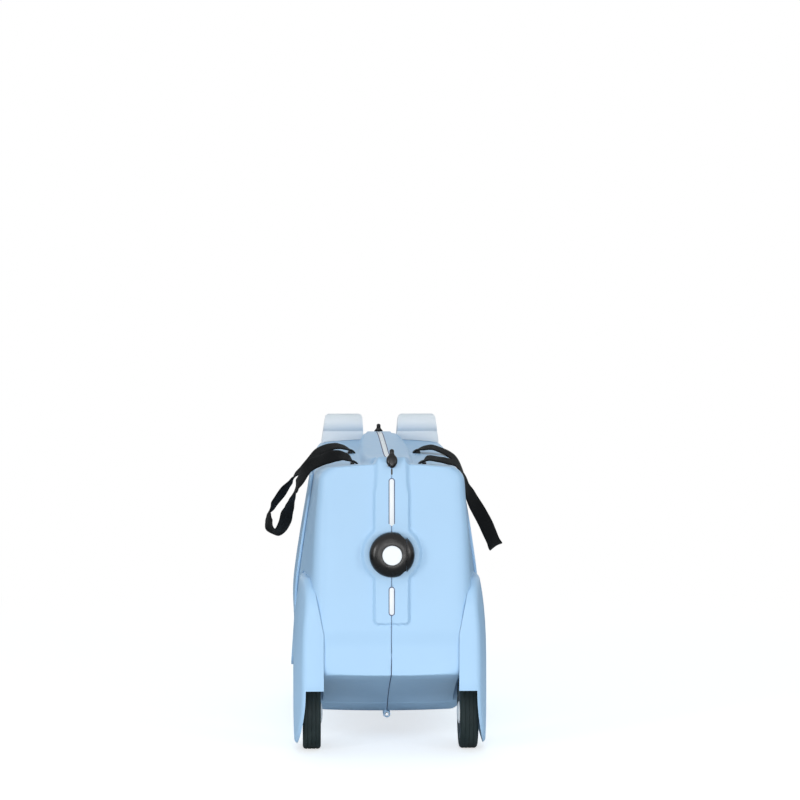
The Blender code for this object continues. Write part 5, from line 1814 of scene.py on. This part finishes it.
@dataclass
class Grip:
    """A hand grip: a foot on the body's top and a rolled upper edge."""

    body: BodyForm
    inner: float = 0.0203
    outer: float = 0.0727
    top_inner: float = 0.0222
    top_outer: float = 0.0685
    height: float = 0.0335
    waist: float = 0.0115
    setback: float = 0.004
    depth: float = 0.066
    length: float = 0.036
    roll_radius: float = 0.0107
    overhang: float = 0.005
    corner: float = 0.0055
    sunk: float = 0.006

    def build(self, kit: Kit, side: Side) -> None:
        """Make one grip in place of the frame's.

        Args:
            kit: the workshop.
            side: the half.
        """
        middle = self.body.length / 2
        rear = self.body.length - self.depth - middle
        surface = self.body.top(rear + middle, (self.inner + self.outer) / 2)
        top = surface + self.height
        roll = (rear + self.roll_radius - self.overhang, top - self.roll_radius)
        front = rear + self.length
        under = surface - self.sunk
        outline = [(rear + self.setback, under), (rear + self.setback, surface + self.waist)]
        outline += arc(roll, self.roll_radius, 255, 60, 36)
        outline += [(front - 0.012, top - 0.010), (front - 0.0066, surface + 0.016),
                    (front - 0.003, surface + 0.010), (front - 0.0008, surface + 0.004),
                    (front, surface), (front, under)]
        span = sorted((side.value * (self.inner - 0.002), side.value * (self.outer + 0.002)))
        grip = kit.add(f"{side.label}_hand_grip", prism("grip", outline, "X", *span))
        view = [(self.outer, under), (self.outer, surface)]
        view += arc((self.top_outer - self.corner, top - self.corner), self.corner, 8, 90, 12)
        view += arc((self.top_inner + self.corner, top - self.corner), self.corner, 90, 176, 12)
        view += [(self.inner, surface), (self.inner, under)]
        view = [(side.value * x, z) for x, z in view]
        kit.boolean(grip, prism("view", view, "Y", rear - self.length, front + self.length), "INTERSECT")
        seat = [self.body.half_ring(side, rear + middle - 0.02 + 0.011 * step, -GAP) for step in range(9)]
        kit.cut(grip, loft("seat", seat))
        kit.bevel(grip, 0.0013, 3, 32)
        kit.keep(kit.bake(grip, 45), side.half, Finish.GRIP, f"{side.label}_grip")


@dataclass
class Flap:
    """A side flap, which lies on the body's side and hangs free at its tip."""

    body: BodyForm
    top: float = 0.297
    tip: float = 0.071
    thickness: float = 0.003
    clearance: float = 0.0005
    hang: float = 0.125
    kick: float = 0.004
    middle: float = 0.263
    width: float = 0.190
    crown: float = 0.0005
    rows: int = 44
    columns: int = 28
    edges: tuple[Triple, ...] = (
        (0.0, -0.16, 0.13), (0.06, -0.27, 0.23), (0.2, -0.385, 0.355), (0.45, -0.48, 0.47),
        (0.7, -0.5, 0.5), (0.9, -0.45, 0.47), (1.0, -0.385, 0.415),
    )

    def inner_face(self, depth: float, z: float) -> float:
        """Return the distance from the seam of the flap's inner face."""
        hang = min(max((self.hang - z) / (self.hang - self.tip), 0), 1)
        return self.body.half_width(depth, max(z, self.hang)) + self.clearance + self.kick * hang

    def build(self, kit: Kit, side: Side) -> None:
        """Make one flap in place of the frame's.

        Args:
            kit: the workshop.
            side: the half.
        """
        rear_edge = [(share, rear) for share, rear, _ in self.edges]
        front_edge = [(share, front) for share, _, front in self.edges]
        rows, columns = self.rows, self.columns
        bm = bmesh.new()
        sheets = []
        for thickness in (0.0, self.thickness):
            sheet = []
            for row in range(rows + 1):
                share = row / rows
                z = self.tip + (self.top - self.tip) * share
                rear, front = through(rear_edge, share), through(front_edge, share)
                line = []
                for column in range(columns + 1):
                    across = column / columns
                    depth = self.middle + self.width * (rear + (front - rear) * across)
                    x = self.inner_face(depth, z) + thickness
                    if thickness:
                        x += self.crown * math.sin(math.pi * across) * math.sin(math.pi * share)
                    line.append(bm.verts.new((side.value * x, depth - self.body.length / 2, z)))
                sheet.append(line)
            sheets.append(sheet)
            for low, high in zip(sheet, sheet[1:]):
                for i in range(columns):
                    bm.faces.new((low[i], low[i + 1], high[i + 1], high[i]))

        def rim(sheet: list[list[bmesh.types.BMVert]]) -> list[bmesh.types.BMVert]:
            """Return a sheet's edge, all the way round."""
            right = [row[-1] for row in sheet[1:-1]]
            left = [row[0] for row in reversed(sheet[1:-1])]
            return sheet[0] + right + sheet[-1][::-1] + left

        inner, outer = rim(sheets[0]), rim(sheets[1])
        for i in range(len(inner)):
            bm.faces.new((inner[i - 1], inner[i], outer[i], outer[i - 1]))
        flap = kit.add(f"{side.label}_side_flap", finish_mesh(bm, "flap"))
        kit.bevel(flap, 0.0009, 3, 50)
        kit.keep(kit.bake(flap), side.half, Finish.BODY, f"{side.label}_flap")


@dataclass
class CarryHandle:
    """A webbing handle, one length between two pivots over the slots."""

    body: BodyForm
    seat: float = 0.0405
    near: float = 0.120
    far: float = 0.278
    rise: float = 0.0035
    width: float = 0.0175
    thickness: float = 0.0016
    steps: int = 7
    blend: float = 0.012
    tip: tuple[Point2, ...] = ((0.0016, 0.0003), (0.0034, 0.0013), (0.0050, 0.0026), (0.0064, 0.0042))

    def pivot(self, side: Side, depth: float) -> Vector:
        """Return the point over its slot about which an end turns."""
        height = self.body.top(depth, self.seat) + self.rise
        return Vector((side.value * self.seat, depth - self.body.length / 2, height))

    def samples(self, side: Side, route: Sequence[Sequence[float]]) -> list[tuple[Vector, Vector]]:
        """Return the webbing's middle and width at close steps.

        Args:
            side: the half the handle is on.
            route: distance from the seam, depth, height, and how far the width reaches out and up.

        Returns:
            Pairs of a point and the width's direction.
        """
        near, far = self.pivot(side, self.near), self.pivot(side, self.far)
        centres, widths = [near], [Vector((0, self.width, 0))]
        for x, depth, z, out, up in route:
            centres.append(Vector((side.value * x, depth - self.body.length / 2, z)))
            forward = math.sqrt(self.width**2 - out**2 - up**2)
            widths.append(Vector((side.value * out, forward, up)))
        centres.append(far)
        widths.append(Vector((0, self.width, 0)))
        last = len(centres) - 1
        samples = []
        for index in range(last):
            lead = (centres[index + 1] - centres[max(index - 1, 0)]) / 2
            trail = (centres[min(index + 2, last)] - centres[index]) / 2
            for step in range(self.steps):
                t = step / self.steps
                point = (
                    (1 + 2 * t) * (1 - t) ** 2 * centres[index] + t * (1 - t) ** 2 * lead
                    + t * t * (3 - 2 * t) * centres[index + 1] + t * t * (t - 1) * trail
                )
                samples.append((point, widths[index].lerp(widths[index + 1], t * t * (3 - 2 * t))))
        samples.append((centres[-1], widths[-1]))
        tips = []
        for end in (near, far):
            tips.append([(end + Vector((-side.value * inward, 0, -down)), Vector((0, self.width, 0)))
                         for inward, down in self.tip])
        return tips[0][::-1] + samples + tips[1]

    def build(self, kit: Kit, side: Side, route: Sequence[Sequence[float]]) -> None:
        """Make one handle in place of the frame's.

        Args:
            kit: the workshop.
            side: the half.
            route: the webbing's way, as samples() takes it.
        """
        samples = self.samples(side, route)
        half, thick = self.width / 2, self.thickness / 2
        edge = thick * 0.8
        round_off = [(half - edge, thick), (half - edge * 0.3, thick * 0.72)]
        section = round_off + [(half, 0.0)] + [(u, -v) for u, v in reversed(round_off)]
        flats = [(half * 0.5, -thick), (0.0, -thick), (-half * 0.5, -thick)]
        outline = section + flats + [(-u, -v) for u, v in section] + [(-u, -v) for u, v in flats]
        bm = bmesh.new()
        layer = bm.loops.layers.uv.new(WEAVE)
        rows, runs = [], []
        travelled = 0.0
        for index, (centre, width) in enumerate(samples):
            ahead = samples[min(index + 1, len(samples) - 1)][0]
            behind = samples[max(index - 1, 0)][0]
            travelled += (centre - behind).length
            runs.append(travelled)
            along = (ahead - behind).normalized()
            across = (width - along * width.dot(along)).normalized()
            out = along.cross(across).normalized()
            rows.append([bm.verts.new(centre + across * u + out * v) for u, v in outline])
        for index in range(1, len(rows)):
            row, after = rows[index - 1:index + 1]
            start, stop = runs[index - 1:index + 1]
            for i in range(len(outline)):
                face = bm.faces.new((row[i - 1], row[i], after[i], after[i - 1]))
                left, right = outline[i - 1][0], outline[i][0]
                places = ((start, left), (start, right), (stop, right), (stop, left))
                for loop, place in zip(face.loops, places):
                    loop[layer].uv = place
        for row in (rows[0], rows[-1]):
            face = bm.faces.new(row)
            for loop, (u, v) in zip(face.loops, outline):
                loop[layer].uv = (v, u)
        bmesh.ops.triangulate(bm, faces=bm.faces)
        handle = kit.add(f"{side.label}_webbing_handle", finish_mesh(bm, "webbing", 60))
        kit.finishes.dress(handle, Finish.WEBBING)
        pivot = self.pivot(side, self.near)
        f"{side.label}_half"
        f"{side.label}_handle"
        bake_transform(handle)
        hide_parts(f"{side.label}_carry_handle")
        log.info("%s: %.0f mm of webbing", handle.name, travelled * 1000)


@dataclass
class Strips:
    """The pale strips over the seam, each ringed by a dark sheet of painted groove shade."""

    body: BodyForm
    width: float = 0.0050
    proud: float = 0.0004
    deep: float = 0.0011
    margin: float = 0.019
    upper: Point2 = (0.254, 0.3055)
    lower: Point2 = (0.157, 0.187)
    rim: float = 0.0009
    top_rim: float = 0.0013
    groove_proud: float = 0.0001
    edge: Point2 = (0.0004, 0.0002)

    def along_spine(self, name: str, half: float, low: float, high: float, margin: float) -> Mesh:
        """Return a strip that follows the spine, between heights below and above it.

        Args:
            name: the mesh's name.
            half: half its width.
            low: where it starts, over the spine.
            high: where it ends.
            margin: how far from the end faces it stops.

        Returns:
            The closed mesh.
        """
        rings = []
        for depth in np.linspace(margin, self.body.length - margin, 90):
            y, spine = depth - self.body.length / 2, self.body.spine(float(depth))
            across, down = half - self.edge[0], high - self.edge[1]
            outline = ((-half, low), (half, low), (half, down),
                       (across, high), (-across, high), (-half, down))
            rings.append([Vector((x, y, spine + rise)) for x, rise in outline])
        return loft(name, rings)

    def on_face(self, name: str, end: End, span: Point2, grow: float, low: float, high: float) -> Mesh:
        """Return a round-ended strip on an end face.

        Args:
            name: the mesh's name.
            end: the end it is on.
            span: its lowest and highest point.
            grow: how much larger it is all round.
            low: how far over the band it starts.
            high: how far over the band it ends.

        Returns:
            The closed mesh.
        """
        half = self.width / 2 + grow
        bottom, top = span[0] - grow, span[1] + grow
        outline = arc((0, top - half), half, 0, 180, 16) + arc((0, bottom + half), half, 180, 360, 16)
        ends = [self.body.y(end, -self.body.band_proud - rise) for rise in (low, high)]
        return prism(name, outline, "Y", *ends)

    def build(self, kit: Kit) -> None:
        """Make all the strips in place of the frame's.

        Args:
            kit: the workshop.
        """
        half, low, dark = self.width / 2, -self.deep, self.groove_proud
        strip = self.along_spine("strip", half, low, self.proud, self.margin)
        kit.make("top_strip_form", strip, "left_half", Finish.WHITE, "top_strip")
        # painted shade: a dark sheet round the strip where a groove's shade would fall
        groove = self.along_spine("groove", half + self.top_rim, low, dark, self.margin - self.top_rim)
        kit.make("top_groove", groove, "left_half", Finish.GROOVE)
        for end in End:
            for label, span in (("upper", self.upper), ("lower", self.lower)):
                name = f"{end.label}_{label}"
                mesh = self.on_face("strip", end, span, 0.0, low, self.proud)
                strip = kit.add(f"{name}_strip_form", mesh)
                kit.bevel(strip, 0.0002, 2, 50)
                kit.keep(kit.bake(strip), "left_half", Finish.WHITE, f"{name}_strip")
                # painted shade: a dark ring round the strip where a groove's shade would fall
                groove = self.on_face("groove", end, span, self.rim, low, dark)
                kit.make(f"{name}_groove", groove, "left_half", Finish.GROOVE)


def dress_frame(kit: Kit) -> None:
    """Give the frame's own nodes their finishes, slot by slot, as the record says.

    Args:
        kit: the workshop, frame and finishes.
    """
    slots = {part["node"]: part["material_slot"] for part in kit.frame["record"]["subparts"]}
    for name, node in kit.frame["nodes"].items():
        kit.finishes.dress_node(node, Finish(slots[name]))
    log.info("dressed %d nodes of the frame", len(slots))


@dataclass
class Studio:
    """Camera, lamps, world and floor."""

    place: Triple = (-0.099, -3.27, 0.522)
    yaw: float = -2.05
    pitch: float = -2.48
    lens: float = 125.3
    fill: float = 0.5
    sky: Triple = (0.7, 0.88, 1.0)
    fade: Point2 = (0.35, 1.4)
    floor_glow: float = 0.62
    floor_size: float = 14.0
    lamps: tuple[tuple[str, Triple, float, Point2, float], ...] = (
        ("key", (-0.3, -3.5, 1.1), 0.15, (1.3, 1.3), 11.0),
        ("left_strip", (-2.0, -2.3, 0.5), 0.15, (0.5, 1.0), 23.0),
        ("right_strip", (2.0, -2.3, 0.5), 0.15, (0.4, 1.0), 15.0),
        ("front_low", (0.0, -2.4, 0.12), 0.1, (1.6, 0.2), 14.0),
        ("overhead", (0.0, 0.8, 2.4), 0.3, (1.5, 1.5), 5.0),
    )

    def camera(self) -> None:
        """Make the camera at the photograph's viewing angle."""
        data = bpy.data.cameras.new("photo_camera")
        data.lens = self.lens
        data.sensor_width = 36.0
        data.clip_end = 60.0
        camera = bpy.data.objects.new("photo_camera", data)
        camera.location = self.place
        camera.rotation_euler = (math.radians(90 + self.pitch), 0.0, math.radians(self.yaw))
        bpy.context.scene.collection.objects.link(camera)
        bpy.context.scene.camera = camera

    def lamp(self, name: str, place: Triple, target: Triple, size: Point2, power: float) -> None:
        """Add a soft rectangular lamp.

        Args:
            name: its name.
            place: where it hangs.
            target: what it points at.
            size: its width and height.
            power: its power in watts.
        """
        data = bpy.data.lights.new(name, "AREA")
        data.shape = "RECTANGLE"
        data.size, data.size_y = size
        data.energy = power
        lamp = bpy.data.objects.new(name, data)
        lamp.location = place
        lamp.rotation_euler = (Vector(target) - Vector(place)).to_track_quat("-Z", "Y").to_euler()
        lamp.visible_camera = False
        bpy.context.scene.collection.objects.link(lamp)

    def world(self) -> None:
        """Make a world that is white to the eye and in reflections, and a plain soft fill as light."""
        world = bpy.data.worlds.new("studio")
        world.use_nodes = True
        bpy.context.scene.world = world
        nodes = NodeTree(world.node_tree)
        background, path = nodes.tree.nodes["Background"], nodes.node("ShaderNodeLightPath")
        seen = nodes.math("MAXIMUM", path.outputs["Is Camera Ray"], path.outputs["Is Transmission Ray"])
        seen = nodes.math("MAXIMUM", seen, path.outputs["Is Glossy Ray"])
        nodes.join(nodes.mix((*self.sky, 1), (1, 1, 1, 1), seen), background.inputs["Color"])
        nodes.join(nodes.ramp(seen, 0.0, self.fill, 1.0, 1.0), background.inputs["Strength"])

    def floor(self) -> None:
        """Make the pale floor, which keeps the case's shadow."""
        bm = bmesh.new()
        bmesh.ops.create_grid(bm, x_segments=1, y_segments=1, size=self.floor_size)
        mesh = bpy.data.meshes.new("floor")
        bm.to_mesh(mesh)
        bm.free()
        floor = bpy.data.objects.new("floor", mesh)
        bpy.context.scene.collection.objects.link(floor)
        nodes = MaterialNodes("floor_white")
        nodes.set("Roughness", 0.9)
        nodes.set("Specular IOR Level", 0.0)
        nodes.set("Emission Color", (1, 1, 1, 1))
        away = nodes.node("ShaderNodeVectorMath", operation="LENGTH")
        nodes.join(nodes.object_place(), away.inputs[0])
        near, far = self.fade
        distance = nodes.ramp(away.outputs["Value"], near, 0.0, far, 1.0, "SMOOTHERSTEP")
        nodes.link(nodes.mix((0.8, 0.8, 0.8, 1), (0, 0, 0, 1), distance), "Base Color")
        glow = nodes.ramp(distance, 0.0, self.floor_glow, 1.0, 1.0)
        seen = nodes.node("ShaderNodeLightPath").outputs["Is Camera Ray"]
        nodes.link(nodes.math("MULTIPLY", glow, seen), "Emission Strength")
        mesh.materials.append(nodes.material)

    def build(self) -> None:
        """Make the whole studio."""
        bpy.context.scene.view_settings.view_transform = "Standard"
        self.camera()
        self.world()
        self.floor()
        for name, place, height, size, power in self.lamps:
            self.lamp(name, place, (0, 0, height), size, power)


# Webbing routes: distance from the seam, depth, height, and how far the width reaches out and up
LEFT_ROUTE = (
    (0.0474, 0.120, 0.3215, -0.0028, 0.0064),
    (0.0566, 0.121, 0.3229, 0.0043, 0.0107),
    (0.0660, 0.123, 0.3213, 0.0014, 0.0130),
    (0.0763, 0.128, 0.3170, 0.0014, 0.0114),
    (0.0910, 0.137, 0.3089, 0.0085, 0.0075),
    (0.0974, 0.147, 0.2971, 0.0060, 0.0055),
    (0.1024, 0.156, 0.2886, 0.0039, 0.0031),
    (0.1044, 0.163, 0.2825, 0.0010, 0.0005),
    (0.1080, 0.172, 0.2739, -0.0035, -0.0006),
    (0.1112, 0.181, 0.2645, -0.0064, -0.0020),
    (0.1146, 0.191, 0.2536, -0.0110, -0.0036),
    (0.1173, 0.203, 0.2409, -0.0115, -0.0040),
    (0.1224, 0.215, 0.2311, -0.0080, -0.0051),
    (0.1291, 0.224, 0.2291, 0.0010, -0.0085),
    (0.1355, 0.231, 0.2348, 0.0095, -0.0044),
    (0.1370, 0.237, 0.2424, 0.0055, -0.0010),
    (0.1360, 0.242, 0.2493, 0.0010, 0.0000),
    (0.1308, 0.248, 0.2576, -0.0060, -0.0045),
    (0.1202, 0.254, 0.2716, -0.0075, -0.0058),
    (0.1109, 0.259, 0.2826, -0.0034, -0.0040),
    (0.1060, 0.262, 0.2891, -0.0005, -0.0005),
    (0.0981, 0.266, 0.2950, 0.0060, 0.0053),
    (0.0888, 0.270, 0.3054, 0.0055, 0.0065),
    (0.0790, 0.274, 0.3168, 0.0035, 0.0077),
    (0.0686, 0.276, 0.3220, 0.0010, 0.0080),
    (0.0582, 0.277, 0.3245, 0.0000, 0.0060),
    (0.0492, 0.278, 0.3234, -0.0010, 0.0035),
)
RIGHT_ROUTE = (
    (0.0462, 0.120, 0.3200, 0.0000, 0.0045),
    (0.0562, 0.122, 0.3186, 0.0005, 0.0045),
    (0.0662, 0.124, 0.3165, 0.0020, 0.0050),
    (0.0778, 0.129, 0.3124, 0.0030, 0.0035),
    (0.0856, 0.138, 0.2994, 0.0020, 0.0015),
    (0.0902, 0.148, 0.2855, 0.0060, 0.0030),
    (0.0970, 0.158, 0.2715, 0.0110, 0.0060),
    (0.1079, 0.172, 0.2524, 0.0140, 0.0070),
    (0.1157, 0.182, 0.2385, 0.0140, 0.0070),
    (0.1209, 0.190, 0.2267, 0.0140, 0.0065),
    (0.1264, 0.200, 0.2147, 0.0125, 0.0070),
    (0.1275, 0.212, 0.2130, 0.0125, 0.0070),
    (0.1220, 0.223, 0.2254, 0.0140, 0.0065),
    (0.1167, 0.232, 0.2375, 0.0140, 0.0070),
    (0.1086, 0.242, 0.2531, 0.0140, 0.0070),
    (0.1004, 0.252, 0.2688, 0.0090, 0.0050),
    (0.0945, 0.260, 0.2824, 0.0020, 0.0015),
    (0.0918, 0.266, 0.2945, 0.0015, 0.0030),
    (0.0840, 0.271, 0.3088, 0.0035, 0.0040),
    (0.0756, 0.274, 0.3156, 0.0035, 0.0045),
    (0.0660, 0.276, 0.3200, 0.0020, 0.0045),
    (0.0571, 0.277, 0.3228, 0.0000, 0.0045),
    (0.0490, 0.278, 0.3221, 0.0000, 0.0035),
)


def main() -> None:
    """Build the studio and the case, and report each piece."""
    logging.basicConfig(level=logging.INFO, format="%(message)s")
    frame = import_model()
    Studio().build()
    kit = Kit(frame, Finishes())
    dress_frame(kit)
    body = BodyForm()
    form = HousingForm(body)
    wheel, knob, latch, hinge = Wheel(form), Knob(body), Latch(body), Hinge(body)
    grip, flap, handle = Grip(body), Flap(body), CarryHandle(body)
    shell, housings = HalfShell(body, form, handle), Housings(form, wheel)
    ribs = RibTree()
    for side, route in ((Side.LEFT, LEFT_ROUTE), (Side.RIGHT, RIGHT_ROUTE)):
        shell.build(kit, side)
        hinge.build(kit, side)
        grip.build(kit, side)
        flap.build(kit, side)
        handle.build(kit, side, route)
        for end in End:
            housings.build(kit, side, end)
            wheel.build(kit, side, end, ribs)
    shell.build_lugs(kit, {end: latch.pivot(end) for end in End})
    # painted shade: a dark ring along the seam line
    kit.make("case_seal", body.seal_mesh(), "left_half", Finish.GROOVE)
    for end in End:
        knob.build(kit, end)
        latch.build(kit, end)
    Strips(body).build(kit)


if __name__ == "__main__":
    main()
